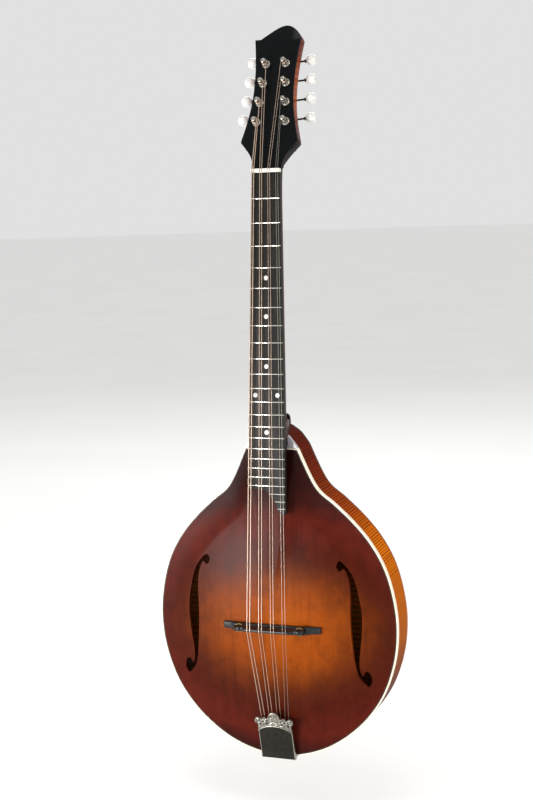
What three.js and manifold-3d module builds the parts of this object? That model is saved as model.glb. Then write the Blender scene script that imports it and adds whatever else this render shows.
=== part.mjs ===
// Octave mandolin with a teardrop body, two f-holes, an adjustable bridge and geared tuners.
// Millimetres. +Z runs up the body from the tail to the head, -Y faces the player's audience,
// +X is the treble side. The construction is laid out from the tail end of the top plate and then
// moved so that the origin lies where a hanger's yoke holds the neck, just above the nut.
import * as THREE from 'three';
import { mergeVertices } from 'three/addons/utils/BufferGeometryUtils.js';
import Module from 'manifold-3d';

const wasm = await Module();
wasm.setup();

// Clearances
const SEAT_GAP = 0.3; // between two glued or screwed faces
const RUN_GAP = 0.35; // between a turning piece and its bore
const CUT_OVERRUN = 2; // how far a cutting solid runs past what it cuts

// Strings and frets
const STRING_LENGTH = 508;
const COMPENSATION = 4.9;
const FRET_COUNT = 23;
const STRING_DIAMETERS = [1.12, 1.12, 0.8, 0.8, 0.56, 0.56, 0.34, 0.34];
const STRING_SIDES = 5;
const COURSES = 4;
const NUT_COURSE_SPREAD = 27.8;
const NUT_PAIR_GAP = 2.3;
const SADDLE_COURSE_SPREAD = 42.3;
const SADDLE_PAIR_GAP = 3.5;
const TAIL_STRING_SPACING = 4.3;
const STRING_LIFT = 0.12; // air between a string and the crest that it crosses
const WINDING_TURNS = 3;
const WINDING_STEPS = 12;
const WINDING_AIR = 0.62; // between neighbouring turns
const WINDING_TOP = 8.4;

// Body
const BODY_LENGTH = 362;
const BODY_WIDTH = 287.2;
const NECK_END_WIDTH = 63.4;
const SHOULDER_RISE = 22.2;
const RIM_DEPTH = 44.3;
const RIB_THICKNESS = 2.3;
const TOP_EDGE = 5;
const TOP_THICKNESS = 4.6;
const TOP_ARCH = 16.4;
const TOP_RECURVE = 0.9;
const TOP_ARCH_CENTRE = 185;
const BACK_EDGE = 4.5;
const BACK_THICKNESS = 4.2;
const BACK_ARCH = 14;
const BACK_BUTTON_RISE = 11.3;
const BACK_BUTTON_HALF_WIDTH = 9.2;
const BINDING_WIDTH = 1.9;
const BINDING_HEIGHT = 5;
const OUTLINE_STEPS = 48;
const RING_SHARES = [0.24, 0.44, 0.61, 0.75, 0.86, 0.94, 1];
const OUTLINE_SHARES = [
  [0.35, 0.03], [0.643, 0.107], [0.854, 0.211], [0.967, 0.329], [1, 0.443], [0.971, 0.547],
  [0.902, 0.638], [0.793, 0.714], [0.657, 0.777], [0.513, 0.83], [0.363, 0.883],
];
const SHOULDER_SHARES = [[0.877, 0.248], [0.685, 0.586], [0.448, 0.838], [0.3, 0.946]];
const F_HOLE_WIDTH = 37.2;
const F_HOLE_LENGTH = 145.2;
const F_HOLE_EDGE = 30.2; // from the hole to the body's widest line
const F_HOLE_FOOT = 92.4;
const F_HOLE_SHARES = [
  [0.22, 0.939], [0.1, 0.916], [0, 0.944], [0, 0.968], [0.09, 1], [0.25, 0.972], [0.39, 0.927],
  [0.51, 0.875], [0.6, 0.803], [0.68, 0.713], [0.74, 0.624], [0.76, 0.534], [0.74, 0.431],
  [0.7, 0.335], [0.66, 0.252], [0.64, 0.194], [0.65, 0.145], [0.68, 0.109], [0.74, 0.088],
  [0.78, 0.118], [0.88, 0.125], [0.97, 0.1], [1, 0.055], [0.97, 0.025], [0.9, 0], [0.81, 0.015],
  [0.71, 0.043], [0.61, 0.083], [0.55, 0.136], [0.5, 0.208], [0.46, 0.298], [0.43, 0.397],
  [0.41, 0.5], [0.41, 0.603], [0.42, 0.7], [0.41, 0.779], [0.38, 0.844], [0.32, 0.898],
];
const LINING_WIDTH = 6;
const LINING_HEIGHT = 9;
const TAIL_BLOCK_HALF_WIDTH = 34;
const TAIL_BLOCK_REACH = 24;
const NECK_BLOCK_HALF_WIDTH = 36;
const NECK_BLOCK_REACH = 46;
const TONE_BAR_WIDTH = 7;
const TONE_BAR_HEIGHT = 10;
const TONE_BAR_END_HEIGHT = 3;
const TONE_BAR_STEPS = 8;
const TONE_BAR_ENDS = [[24, 292], [44, 62]]; // across and up, at the neck end and at the tail end

// Neck
const NECK_ANGLE = THREE.MathUtils.degToRad(4.3);
const FRET_PLANE_RISE = 15.5; // fret plane above the rim, at the neck end of the top
const BODY_JOINT_SHARE = 0.6057; // of the string length, from the nut to the neck end of the top
const NUT_WIDTH = 33;
const BOARD_END_WIDTH = 43.8;
const BOARD_BASS_END_SHARE = 0.6939; // of the string length, as the next
const BOARD_TIP_SHARE = 0.75;
const BOARD_END_SHARES = [
  [-0.18, 0], [0, 0.07], [0.18, 0.23], [0.41, 0.44], [0.55, 0.7], [0.685, 0.91], [0.868, 1],
];
const BOARD_CORNER_SHARE = 0.947;
const BOARD_THICKNESS = 5.5;
const FRET_HEIGHT = 1;
const FRET_WIDTH = 1.8;
const FRET_SINK = 0.3;
const FRET_INSET = 0.3;
const FRET_CROWN_SHARE = 0.5;
const SHAFT_DEPTH = 14.5;
const SHAFT_DEPTH_AT_BODY = 16.5;
const SHAFT_LEVEL_FROM_NUT = 30;
const HEEL_LENGTH = 45.7; // from its first swelling to the neck end of the top
const HEEL_SWEEP = 15;
const HEEL_HALF_WIDTH = 8.9;
const HEEL_DRAWN = 41; // the heel is drawn as long as this and then cut to the shoulder
const HEEL_STEP_SHARES = [0.35, 0.6, 0.8, 0.92, 1];
const HEEL_SHARES = [[1, 0], [0.98, 0.16], [0.88, 0.36], [0.72, 0.6], [0.54, 0.84]];
const TENON_HALF_WIDTH = 6.5;
const TENON_LENGTH = 18;
const TENON_FRONT = 8;
const TENON_BACK = 34;
const TENON_IN_HEEL = 3.8;
const TONGUE_ROOT = 8; // below the top of the heel
const TONGUE_LEVEL = 4.3; // past the neck end of the top
const TONGUE_SHORT = 6.5; // of the board's bass end
const TONGUE_OVER_RIM = 2.2;
const TONGUE_DEPTH = 5.4;
const TONGUE_END_DEPTH = 3.2;
const TONGUE_INSET = 1.2;
const ROD_WIDTH = 6;
const ROD_DEPTH = 6.4;
const ROD_START = 6;
const ROD_PAST_HEEL_TOP = 12;
const NUT_THICKNESS = 4.4;
const NUT_RISE = 0.9; // above the fret plane

// Headstock
const HEAD_TILT = THREE.MathUtils.degToRad(15);
const HEAD_DROP = 5; // veneer's face below the fret plane, at the nut
const HEAD_THICKNESS = 14;
const VENEER_THICKNESS = 2;
const HEAD_LENGTH = 153.6;
const HEAD_HALF_WIDTH = 33.4;
const HEAD_SIDE_SHARES = [
  [0.5, 0], [0.525, 0.04], [0.61, 0.092], [0.77, 0.145], [0.95, 0.19], [1, 0.213],
  [0.925, 0.28], [0.85, 0.35], [0.765, 0.45], [0.715, 0.55], [0.7, 0.65], [0.71, 0.76],
  [0.755, 0.88], [0.82, 1],
];
const HEAD_CREST_RISE = 15.3;
const HEAD_CREST_SHARES = [
  [0.737, 0.35], [0.6, 0.69], [0.44, 0.92], [0.296, 1], [0.19, 0.98], [0.075, 0.914],
  [-0.135, 0.684], [-0.344, 0.395], [-0.533, 0.125], [-0.62, 0.01],
];
const VENEER_START = 0.9; // from the nut's back face, along the headstock
const HEAD_BLEND_START = 8;
const HEAD_CORE_START = 9;
const HEAD_BLEND_END = 12;
const BLEND_INSET = 0.3;
const BLEND_STEP = 0.9;
const BLEND_SHARES = [[1, 0], [1, 0.35], [1, 0.7], [0.93, 0.93], [0.7, 1], [0.35, 1], [0, 1]];

// Tuners
const POST_PITCH = 23;
const FIRST_POST = 55;
const FIRST_POST_SPREAD = 34;
const LAST_POST_SPREAD = 23.4;
const POST_RADIUS = 2.8;
const POST_WAIST_RADIUS = 2.4;
const POST_WAIST_FOOT = 1.6;
const POST_WAIST_TOP = 9.3;
const POST_HEIGHT = 12;
const POST_SIDES = 8;
const POST_CHAMFER = 0.5;
const POST_AIR = 0.12; // between the post's waist and the coil
const BORE_SIDES = 12;
const GEAR_TEETH = 14;
const GEAR_RADIUS = 6;
const GEAR_TOOTH = 0.9;
const GEAR_THICKNESS = 4;
const POST_SCREW_RADIUS = 2.4;
const POST_SCREW_HEIGHT = 1.5;
const WORM_DEPTH = 20; // worm axis behind the veneer's face
const WORM_RADIUS = 2.2;
const WORM_LENGTH = 8.6;
const WORM_SIDES = 8;
const WORM_AIR = 0.4;
const SHAFT_RADIUS = 1.1;
const COLLAR_RADIUS = 2.1;
const COLLAR_LENGTH = 2;
const PLATE_THICKNESS = 1;
const PLATE_HALF_WIDTH = 7.2;
const PLATE_OVERHANG = 9;
const EAR_INNER = 5;
const EAR_THICKNESS = 1.2;
const EAR_WIDTH = 5.4;
const EAR_MARGIN = 1.4;
const BUTTON_REACH = 23.8; // from the post's axis to the button's middle
const BUTTON_DIAMETER = 13.5;
const BUTTON_THICKNESS = 7.4;
const BUTTON_SHARES = [[0.35, -1], [0.78, -0.72], [1, -0.1], [0.95, 0.45], [0.66, 0.85]];
const BUTTON_SIDES = 10;

// Bridge
const BRIDGE_HALF_LENGTH = 58.4;
const BRIDGE_THICKNESS = 7;
const FOOT_TOP = 22;
const FOOT_END_RISE = 3;
const FOOT_WING_RISE = 4.4;
const FOOT_SHOULDER = 43;
const FOOT_WING = 46.5;
const SADDLE_HALF_LENGTH = 42.2;
const SADDLE_FOOT_THICKNESS = 6.4;
const SADDLE_CREST_THICKNESS = 2.6;
const SADDLE_FOOT = 25.4;
const SADDLE_RISE = 3.7; // of the saddle's crest above the fret plane
const SADDLE_OUTLINE_SHARES = [
  [1, 0.2], [0.96, 0.5], [0.84, 0.68], [0.76, 0.56], [0.69, 0.68], [0.62, 1], [0.3, 1], [0, 1],
];
const STUD_SPREAD = 72;
const STUD_RADIUS = 1.5;
const STUD_SEAT = 3.6;
const STUD_TOP = 28.8;
const STUD_HEADROOM = 1.4;
const STUD_SIDES = 10;
const WHEEL_RADIUS = 6.4;
const WHEEL_THICKNESS = 2;
const WHEEL_FOOT = 23;
const WHEEL_SIDES = 20;

// Tailpiece
const TAILPIECE_TILT = THREE.MathUtils.degToRad(14.4);
const TAILPIECE_RISE = 5.2;
const TAILPIECE_OVERHANG = 1.4;
const COVER_HALF_WIDTH = 20.6;
const COVER_LENGTH = 40.2;
const COVER_THICKNESS = 1;
const COVER_FLANGE_DEPTH = 3.8;
const CREST_HALF_WIDTH = 22.9;
const CREST_LENGTH = 22.2;
const CREST_SHARES = [
  [0.86, 0.12], [0.9, 0.28], [0.99, 0.46], [0.99, 0.58], [0.9, 0.66], [0.77, 0.64], [0.64, 0.56],
  [0.58, 0.64], [0.48, 0.68], [0.37, 0.6], [0.31, 0.68], [0.24, 0.86], [0.14, 0.97], [0, 1],
];
const TONGUE_HALF_WIDTH = 18.6;
const TONGUE_PLATE = 1;
const TONGUE_PLATE_DEPTH = 4;
const TONGUE_PLATE_LENGTH = 32;
const TONGUE_BEND = 1;
const TAIL_PLATE_LENGTH = 36;
const HOOK_WIDTH = 1.5;
const HOOK_UP = 29.4; // along the tongue
const HOOK_THICKNESS = 1.2;
const HOOK_LIP = 2.2;
const HOOK_LIP_THICKNESS = 0.7;
const STRING_AT_HOOK = 2.9; // below the cover's outer face

// Where a hanger's yoke carries the headstock
const HANGER_ABOVE_NUT = 15;
const HANGER_DEPTH = 8;

// Materials
const materials = {
  spruce: new THREE.MeshStandardMaterial({ color: '#7a3316', roughness: 0.4, metalness: 0 }),
  maple: new THREE.MeshStandardMaterial({ color: '#8f3a14', roughness: 0.4, metalness: 0 }),
  blockWood: new THREE.MeshStandardMaterial({ color: '#c59a68', roughness: 0.8, metalness: 0 }),
  ivoroid: new THREE.MeshStandardMaterial({ color: '#e9dfc2', roughness: 0.4, metalness: 0 }),
  ebony: new THREE.MeshStandardMaterial({ color: '#26221f', roughness: 0.5, metalness: 0 }),
  blackLacquer: new THREE.MeshStandardMaterial({ color: '#0d0f10', roughness: 0.2, metalness: 0 }),
  bone: new THREE.MeshStandardMaterial({ color: '#efece2', roughness: 0.45, metalness: 0 }),
  nickel: new THREE.MeshStandardMaterial({ color: '#c9c6bf', roughness: 0.25, metalness: 1 }),
  brass: new THREE.MeshStandardMaterial({ color: '#b08d4a', roughness: 0.35, metalness: 1 }),
  steel: new THREE.MeshStandardMaterial({ color: '#a9abae', roughness: 0.35, metalness: 1 }),
  bronze: new THREE.MeshStandardMaterial({ color: '#b98a63', roughness: 0.4, metalness: 1 }),
  pearloid: new THREE.MeshStandardMaterial({ color: '#e6e5df', roughness: 0.3, metalness: 0 }),
};

// Places along the neck, from the nut
const bodyJoint = STRING_LENGTH * BODY_JOINT_SHARE;
const boardBassEnd = STRING_LENGTH * BOARD_BASS_END_SHARE;
const boardTip = STRING_LENGTH * BOARD_TIP_SHARE;
const heelTop = bodyJoint - HEEL_LENGTH;
const rodEnd = heelTop + ROD_PAST_HEEL_TOP;

// Frames, as matrices into the layout's space
const neckOrigin = new THREE.Vector3(
  0,
  -FRET_PLANE_RISE + Math.sin(NECK_ANGLE) * bodyJoint,
  BODY_LENGTH + Math.cos(NECK_ANGLE) * bodyJoint,
);
const neckFrame = new THREE.Matrix4().makeRotationX(-NECK_ANGLE).setPosition(neckOrigin);
const headFrame = neckFrame.clone().multiply(
  new THREE.Matrix4().makeRotationX(-HEAD_TILT).setPosition(0, HEAD_DROP, NUT_THICKNESS),
);
const tailFrame = new THREE.Matrix4()
  .makeRotationX(TAILPIECE_TILT)
  .setPosition(0, -TAILPIECE_RISE, -TAILPIECE_OVERHANG);

function inFrame(frame, across, depth, up) {
  return new THREE.Vector3(across, depth, up).applyMatrix4(frame);
}

// Mesh helpers

// Both flat ends of a loft, as triangles that follow the ring's own direction
function capTriangles(ring) {
  const normal = new THREE.Vector3();
  ring.forEach((point, i) => {
    const next = ring[(i + 1) % ring.length];
    normal.x += (point.y - next.y) * (point.z + next.z);
    normal.y += (point.z - next.z) * (point.x + next.x);
    normal.z += (point.x - next.x) * (point.y + next.y);
  });
  const size = [Math.abs(normal.x), Math.abs(normal.y), Math.abs(normal.z)];
  const drop = size.indexOf(Math.max(...size));
  const flat = ring.map((point) => {
    const all = point.toArray();
    all.splice(drop, 1);
    return new THREE.Vector2(all[0], all[1]);
  });
  const along = Math.sign(THREE.ShapeUtils.area(flat));
  return THREE.ShapeUtils.triangulateShape(flat, []).map((triangle) => {
    const turn = Math.sign(THREE.ShapeUtils.area(triangle.map((corner) => flat[corner])));
    return turn === along ? triangle : [triangle[0], triangle[2], triangle[1]];
  });
}

function outwards(geometry) {
  const place = geometry.getAttribute('position');
  const index = geometry.getIndex().array;
  const corners = [new THREE.Vector3(), new THREE.Vector3(), new THREE.Vector3()];
  let volume = 0;
  for (let i = 0; i < index.length; i += 3) {
    corners.forEach((corner, k) => corner.fromBufferAttribute(place, index[i + k]));
    volume += corners[0].dot(corners[1].clone().cross(corners[2]));
  }
  if (volume < 0) {
    for (let i = 0; i < index.length; i += 3) {
      [index[i + 1], index[i + 2]] = [index[i + 2], index[i + 1]];
    }
  }
  return geometry;
}

// A closed skin through rings of points; looped joins the last ring to the first
function loft(rings, looped = false) {
  const count = rings[0].length;
  const faces = [];
  const last = looped ? rings.length : rings.length - 1;
  for (let r = 0; r < last; r += 1) {
    const here = r * count;
    const there = ((r + 1) % rings.length) * count;
    for (let i = 0; i < count; i += 1) {
      const j = (i + 1) % count;
      faces.push(here + i, here + j, there + j, here + i, there + j, there + i);
    }
  }
  if (!looped) {
    const far = (rings.length - 1) * count;
    capTriangles(rings[0]).forEach(([a, b, c]) => faces.push(a, c, b));
    capTriangles(rings.at(-1)).forEach(([a, b, c]) => faces.push(far + a, far + b, far + c));
  }
  const geometry = new THREE.BufferGeometry();
  const places = rings.flat().flatMap((point) => point.toArray());
  geometry.setAttribute('position', new THREE.Float32BufferAttribute(places, 3));
  geometry.setIndex(faces);
  return outwards(geometry);
}

function toSolid(geometry) {
  const bare = geometry.clone();
  bare.deleteAttribute('normal');
  bare.deleteAttribute('uv');
  const merged = mergeVertices(bare);
  return new wasm.Manifold(new wasm.Mesh({
    numProp: 3,
    vertProperties: new Float32Array(merged.getAttribute('position').array),
    triVerts: new Uint32Array(merged.getIndex().array),
  }));
}

function fromSolid(solid) {
  const { vertProperties, triVerts, numProp } = solid.getMesh();
  const places = [];
  for (let i = 0; i < vertProperties.length; i += numProp) {
    places.push(vertProperties[i], vertProperties[i + 1], vertProperties[i + 2]);
  }
  const geometry = new THREE.BufferGeometry();
  geometry.setAttribute('position', new THREE.Float32BufferAttribute(places, 3));
  geometry.setIndex([...triVerts]);
  return geometry;
}

function join(first, ...others) {
  return fromSolid(others.reduce((solid, other) => solid.add(toSolid(other)), toSolid(first)));
}

function cut(first, ...others) {
  return fromSolid(others.reduce((solid, other) => solid.subtract(toSolid(other)), toSolid(first)));
}

// An outline of [across, up] points, extruded from one depth to another
function slab(outline, front, back) {
  const shape = new THREE.Shape(outline.map(([across, up]) => new THREE.Vector2(across, up)));
  const geometry = new THREE.ExtrudeGeometry(shape, { depth: back - front, bevelEnabled: false });
  return geometry.rotateX(Math.PI / 2).translate(0, back, 0);
}

function block(across, depth, up) {
  const [x0, x1] = across;
  const [y0, y1] = depth;
  const [z0, z1] = up;
  return new THREE.BoxGeometry(x1 - x0, y1 - y0, z1 - z0)
    .translate((x0 + x1) / 2, (y0 + y1) / 2, (z0 + z1) / 2);
}

// A round bar along the depth axis
function pin(radius, front, back, across, up, sides) {
  return new THREE.CylinderGeometry(radius, radius, back - front, sides)
    .translate(across, (front + back) / 2, up);
}

// Each point moved inwards from a closed anticlockwise loop, with mitred corners
function inset(loop, distance) {
  const count = loop.length;
  return loop.map((point, i) => {
    const before = new THREE.Vector2(...loop[(i + count - 1) % count]);
    const here = new THREE.Vector2(...point);
    const after = new THREE.Vector2(...loop[(i + 1) % count]);
    const into = here.clone().sub(before).normalize();
    const out = after.sub(here).normalize();
    const leftIn = new THREE.Vector2(-into.y, into.x);
    const leftOut = new THREE.Vector2(-out.y, out.x);
    const mitre = leftIn.clone().add(leftOut).normalize();
    const reach = distance / mitre.dot(leftIn);
    return here.addScaledVector(mitre, reach).toArray();
  });
}

// Body outline

const halfWidth = BODY_WIDTH / 2;
const neckEndHalf = NECK_END_WIDTH / 2;

// The treble half's points, from just above the tail to the corner at the neck end
const sidePoints = [
  ...OUTLINE_SHARES.map(([across, up]) => [across * halfWidth, up * BODY_LENGTH]),
  [neckEndHalf, BODY_LENGTH],
];
const bodyCurve = new THREE.SplineCurve([
  ...[...sidePoints].reverse().map(([x, z]) => new THREE.Vector2(-x, z)),
  new THREE.Vector2(0, 0),
  ...sidePoints.map(([x, z]) => new THREE.Vector2(x, z)),
]);
// Anticlockwise from the bass corner of the neck end, round the tail, to the treble corner
const teardrop = bodyCurve.getSpacedPoints(OUTLINE_STEPS).map((point) => point.toArray());
const shoulder = [
  ...SHOULDER_SHARES.map(([across, up]) => [across * neckEndHalf, BODY_LENGTH + up * SHOULDER_RISE]),
];
const shoulderTop = BODY_LENGTH + SHOULDER_RISE;
const rimLoop = [
  ...teardrop,
  ...shoulder,
  [0, shoulderTop],
  ...[...shoulder].reverse().map(([x, z]) => [-x, z]),
];

// How high the rim's shoulder stands above a place across the neck end
function shoulderAt(across) {
  const line = [[0, shoulderTop], ...[...shoulder].reverse(), [neckEndHalf, BODY_LENGTH]];
  const away = Math.min(Math.abs(across), neckEndHalf);
  const k = line.findIndex(([x]) => x >= away);
  if (k <= 0) return shoulderTop;
  const [x0, z0] = line[k - 1];
  const [x1, z1] = line[k];
  return z0 + ((z1 - z0) * (away - x0)) / (x1 - x0);
}

// Share of the way from the arch's centre to the loop's edge, in the direction of a point
function shareAt(loop, across, up) {
  const dx = across;
  const dz = up - TOP_ARCH_CENTRE;
  let best = Infinity;
  loop.forEach(([ax, az], i) => {
    const [bx, bz] = loop[(i + 1) % loop.length];
    const ex = bx - ax;
    const ez = bz - az;
    const turn = dx * ez - dz * ex;
    if (turn === 0) return;
    const away = (ax * ez - (az - TOP_ARCH_CENTRE) * ex) / turn;
    const along = (ax * dz - (az - TOP_ARCH_CENTRE) * dx) / turn;
    if (away > 0 && along >= 0 && along <= 1) best = Math.min(best, away);
  });
  return 1 / best;
}

// Height of an arched plate above its rim; a shallow recurve runs round inside the edge
function archHeight(share, height, recurve) {
  const edge = Math.max(0, (share - RING_SHARES[3]) / (1 - RING_SHARES[3]));
  return height * (1 - share * share) - recurve * Math.sin(Math.PI * edge);
}

const topLoop = inset(teardrop, BINDING_WIDTH + SEAT_GAP);

// The same height along the plate's own facets, so that seated pieces follow them
function facetHeight(share, height, recurve) {
  const steps = [0, ...RING_SHARES];
  const k = steps.findIndex((step) => step >= share);
  if (k <= 0) return k === 0 ? height : 0;
  const low = archHeight(steps[k - 1], height, recurve);
  const high = archHeight(steps[k], height, recurve);
  return low + ((high - low) * (share - steps[k - 1])) / (steps[k] - steps[k - 1]);
}

function topFaceAt(across, up) {
  return -facetHeight(shareAt(topLoop, across, up), TOP_ARCH, TOP_RECURVE);
}

// An arched plate between an outer skin and an inner one; sign is -1 for the top, 1 for the back
function archedPlate(loop, rim, edge, height, recurve, thickness, sign) {
  const centre = [0, TOP_ARCH_CENTRE];
  const skin = (inner) => RING_SHARES.map((share) => loop.map(([x, z]) => {
    const flat = share >= RING_SHARES[5];
    const rise = archHeight(share, height, recurve);
    const y = inner
      ? rim + sign * (flat ? -edge : Math.max(rise - thickness, -edge))
      : rim + sign * rise;
    return new THREE.Vector3(x * share, y, centre[1] + (z - centre[1]) * share);
  }));
  const outer = skin(false);
  const inner = skin(true);
  const count = loop.length;
  const places = [];
  const faces = [];
  const middle = (inside) => {
    const y = rim + sign * (archHeight(0, height, recurve) - (inside ? thickness : 0));
    return new THREE.Vector3(0, y, centre[1]);
  };
  places.push(middle(false), ...outer.flat(), middle(true), ...inner.flat());
  const innerStart = 1 + outer.flat().length;
  const lay = (start, flip) => {
    const add = (a, b, c) => faces.push(a, flip ? c : b, flip ? b : c);
    for (let i = 0; i < count; i += 1) {
      const j = (i + 1) % count;
      add(start, start + 1 + i, start + 1 + j);
      for (let r = 0; r + 1 < RING_SHARES.length; r += 1) {
        const a = start + 1 + r * count;
        const b = a + count;
        add(a + i, b + i, b + j);
        add(a + i, b + j, a + j);
      }
    }
  };
  lay(0, false);
  lay(innerStart, true);
  const rimOuter = 1 + (RING_SHARES.length - 1) * count;
  const rimInner = innerStart + rimOuter;
  for (let i = 0; i < count; i += 1) {
    const j = (i + 1) % count;
    faces.push(rimOuter + i, rimInner + i, rimInner + j, rimOuter + i, rimInner + j, rimOuter + j);
  }
  const geometry = new THREE.BufferGeometry();
  geometry.setAttribute(
    'position',
    new THREE.Float32BufferAttribute(places.flatMap((point) => point.toArray()), 3),
  );
  geometry.setIndex(faces);
  return outwards(geometry);
}

function fHole(side) {
  const inner = halfWidth - F_HOLE_EDGE - F_HOLE_WIDTH;
  const outline = F_HOLE_SHARES.map(([across, up]) => [
    side * (inner + across * F_HOLE_WIDTH),
    F_HOLE_FOOT + up * F_HOLE_LENGTH,
  ]);
  return slab(outline, -TOP_ARCH - CUT_OVERRUN, TOP_EDGE + CUT_OVERRUN);
}

const ribFront = BINDING_HEIGHT + SEAT_GAP;
const ribBack = RIM_DEPTH - BACK_EDGE - SEAT_GAP;
const layout = new THREE.Group();

function add(name, geometry, material, parent = layout) {
  const mesh = new THREE.Mesh(geometry, material);
  mesh.name = name;
  parent.add(mesh);
  return mesh;
}

function frameGroup(matrix, parent = layout) {
  const group = new THREE.Group();
  matrix.decompose(group.position, group.quaternion, group.scale);
  parent.add(group);
  return group;
}

// A strip between two lines of matching points
function strip(outer, inner, front, back, looped = false) {
  return loft(outer.map(([ox, oz], i) => {
    const [ix, iz] = inner[i];
    return [
      new THREE.Vector3(ox, front, oz),
      new THREE.Vector3(ix, front, iz),
      new THREE.Vector3(ix, back, iz),
      new THREE.Vector3(ox, back, oz),
    ];
  }), looped);
}

// The place between two points at a given distance across
function between([ax, az], [bx, bz], across) {
  return [across, az + ((bz - az) * (across - ax)) / (bx - ax)];
}

function mirrored(points) {
  return points.map(([across, up]) => [-across, up]);
}

function common(first, second) {
  return fromSolid(toSolid(first).intersect(toSolid(second)));
}

// Top, back, binding

add('top_plate', cut(
  archedPlate(topLoop, 0, TOP_EDGE, TOP_ARCH, TOP_RECURVE, TOP_THICKNESS, -1),
  fHole(-1),
  fHole(1),
), materials.spruce);

const buttonTop = shoulderTop + BACK_BUTTON_RISE;
const buttonSide = [
  [BACK_BUTTON_HALF_WIDTH, shoulderAt(BACK_BUTTON_HALF_WIDTH)],
  [BACK_BUTTON_HALF_WIDTH, shoulderTop + BACK_BUTTON_RISE / 2],
  [BACK_BUTTON_HALF_WIDTH / 2, buttonTop],
];
const backShoulder = shoulder.filter(([across]) => across > BACK_BUTTON_HALF_WIDTH + SEAT_GAP);
const backLoop = [
  ...teardrop,
  ...backShoulder,
  ...buttonSide,
  ...mirrored([...backShoulder, ...buttonSide]).reverse(),
];
add('back_plate', archedPlate(
  backLoop,
  RIM_DEPTH,
  BACK_EDGE,
  BACK_ARCH,
  TOP_RECURVE,
  BACK_THICKNESS,
  1,
), materials.maple);

const bindingInner = inset(teardrop, BINDING_WIDTH);
add('top_binding', strip(teardrop, bindingInner, 0, BINDING_HEIGHT, true), materials.ivoroid);

// Ribs, from the joint at the tail to the slot that the neck's tenon fills

const ribInner = inset(rimLoop, RIB_THICKNESS);
const liningOuter = inset(rimLoop, RIB_THICKNESS + SEAT_GAP);
const liningInner = inset(rimLoop, RIB_THICKNESS + SEAT_GAP + LINING_WIDTH);
const tailIndex = OUTLINE_STEPS / 2;
const topIndex = OUTLINE_STEPS + 1 + SHOULDER_SHARES.length;
const slotEdge = TENON_HALF_WIDTH + SEAT_GAP;

function trebleLine(loop) {
  const line = loop.slice(tailIndex, topIndex);
  line[0] = between(line[0], line[1], SEAT_GAP / 2);
  return [...line, between(line.at(-1), loop[topIndex], slotEdge)];
}

function liningSpan(side, front, back) {
  const keep = [];
  for (let i = tailIndex; i <= OUTLINE_STEPS; i += 1) {
    const clearOfTail = liningOuter[i][0] > TAIL_BLOCK_HALF_WIDTH + SEAT_GAP;
    const clearOfNeck = liningInner[i][0] > NECK_BLOCK_HALF_WIDTH + SEAT_GAP;
    if (clearOfTail && clearOfNeck) keep.push(i);
  }
  const outer = keep.map((i) => liningOuter[i]);
  const inner = keep.map((i) => liningInner[i]);
  return side > 0
    ? strip(outer, inner, front, back)
    : strip(mirrored(outer), mirrored(inner), front, back);
}

for (const [side, name] of [[-1, 'bass'], [1, 'treble']]) {
  const outer = trebleLine(rimLoop);
  const inner = trebleLine(ribInner);
  const rib = side > 0
    ? strip(outer, inner, ribFront, ribBack)
    : strip(mirrored(outer), mirrored(inner), ribFront, ribBack);
  add(`rib_${name}`, rib, materials.maple);
  add(`lining_top_${name}`, liningSpan(side, ribFront, ribFront + LINING_HEIGHT), materials.blockWood);
  add(`lining_back_${name}`, liningSpan(side, ribBack - LINING_HEIGHT, ribBack), materials.blockWood);
}

// Blocks inside the ends

add('tail_block', common(
  slab(liningOuter, ribFront, ribBack),
  block(
    [-TAIL_BLOCK_HALF_WIDTH, TAIL_BLOCK_HALF_WIDTH],
    [0, RIM_DEPTH],
    [-CUT_OVERRUN, TAIL_BLOCK_REACH],
  ),
), materials.blockWood);

const blockSpan = [-NECK_BLOCK_HALF_WIDTH, NECK_BLOCK_HALF_WIDTH];
const capStart = BODY_LENGTH + SEAT_GAP;
const neckBlock = join(
  common(
    slab(liningOuter, ribFront, ribBack),
    block(blockSpan, [0, RIM_DEPTH], [BODY_LENGTH - NECK_BLOCK_REACH, shoulderTop]),
  ),
  common(slab(liningOuter, 0, ribBack), block(blockSpan, [0, RIM_DEPTH], [capStart, shoulderTop])),
  common(
    slab(rimLoop, 0, BINDING_HEIGHT),
    block(blockSpan, [-CUT_OVERRUN, RIM_DEPTH], [capStart, shoulderTop + CUT_OVERRUN]),
  ),
);
const mortise = block(
  [-slotEdge, slotEdge],
  [TENON_FRONT - SEAT_GAP, TENON_BACK + SEAT_GAP],
  [shoulderTop - TENON_LENGTH - SEAT_GAP, shoulderTop + CUT_OVERRUN],
);
add('neck_block', cut(neckBlock, mortise), materials.blockWood);

// Tone bars, fitted to the underside of the top

function underTopAt(across, up) {
  return topFaceAt(across, up) + TOP_THICKNESS + SEAT_GAP;
}

for (const [side, name] of [[-1, 'bass'], [1, 'treble']]) {
  const rings = [];
  for (let i = 0; i <= TONE_BAR_STEPS; i += 1) {
    const along = i / TONE_BAR_STEPS;
    const [[x0, z0], [x1, z1]] = TONE_BAR_ENDS;
    const across = side * (x0 + (x1 - x0) * along);
    const up = z0 + (z1 - z0) * along;
    const near = across - TONE_BAR_WIDTH / 2;
    const far = across + TONE_BAR_WIDTH / 2;
    const swell = Math.sin(Math.PI * along);
    const height = TONE_BAR_END_HEIGHT + (TONE_BAR_HEIGHT - TONE_BAR_END_HEIGHT) * swell;
    const foot = Math.max(underTopAt(near, up), underTopAt(far, up)) + height;
    rings.push([
      new THREE.Vector3(near, underTopAt(near, up), up),
      new THREE.Vector3(far, underTopAt(far, up), up),
      new THREE.Vector3(far, foot, up),
      new THREE.Vector3(near, foot, up),
    ]);
  }
  add(`tone_bar_${name}`, loft(rings), materials.spruce);
}

// Neck

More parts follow.
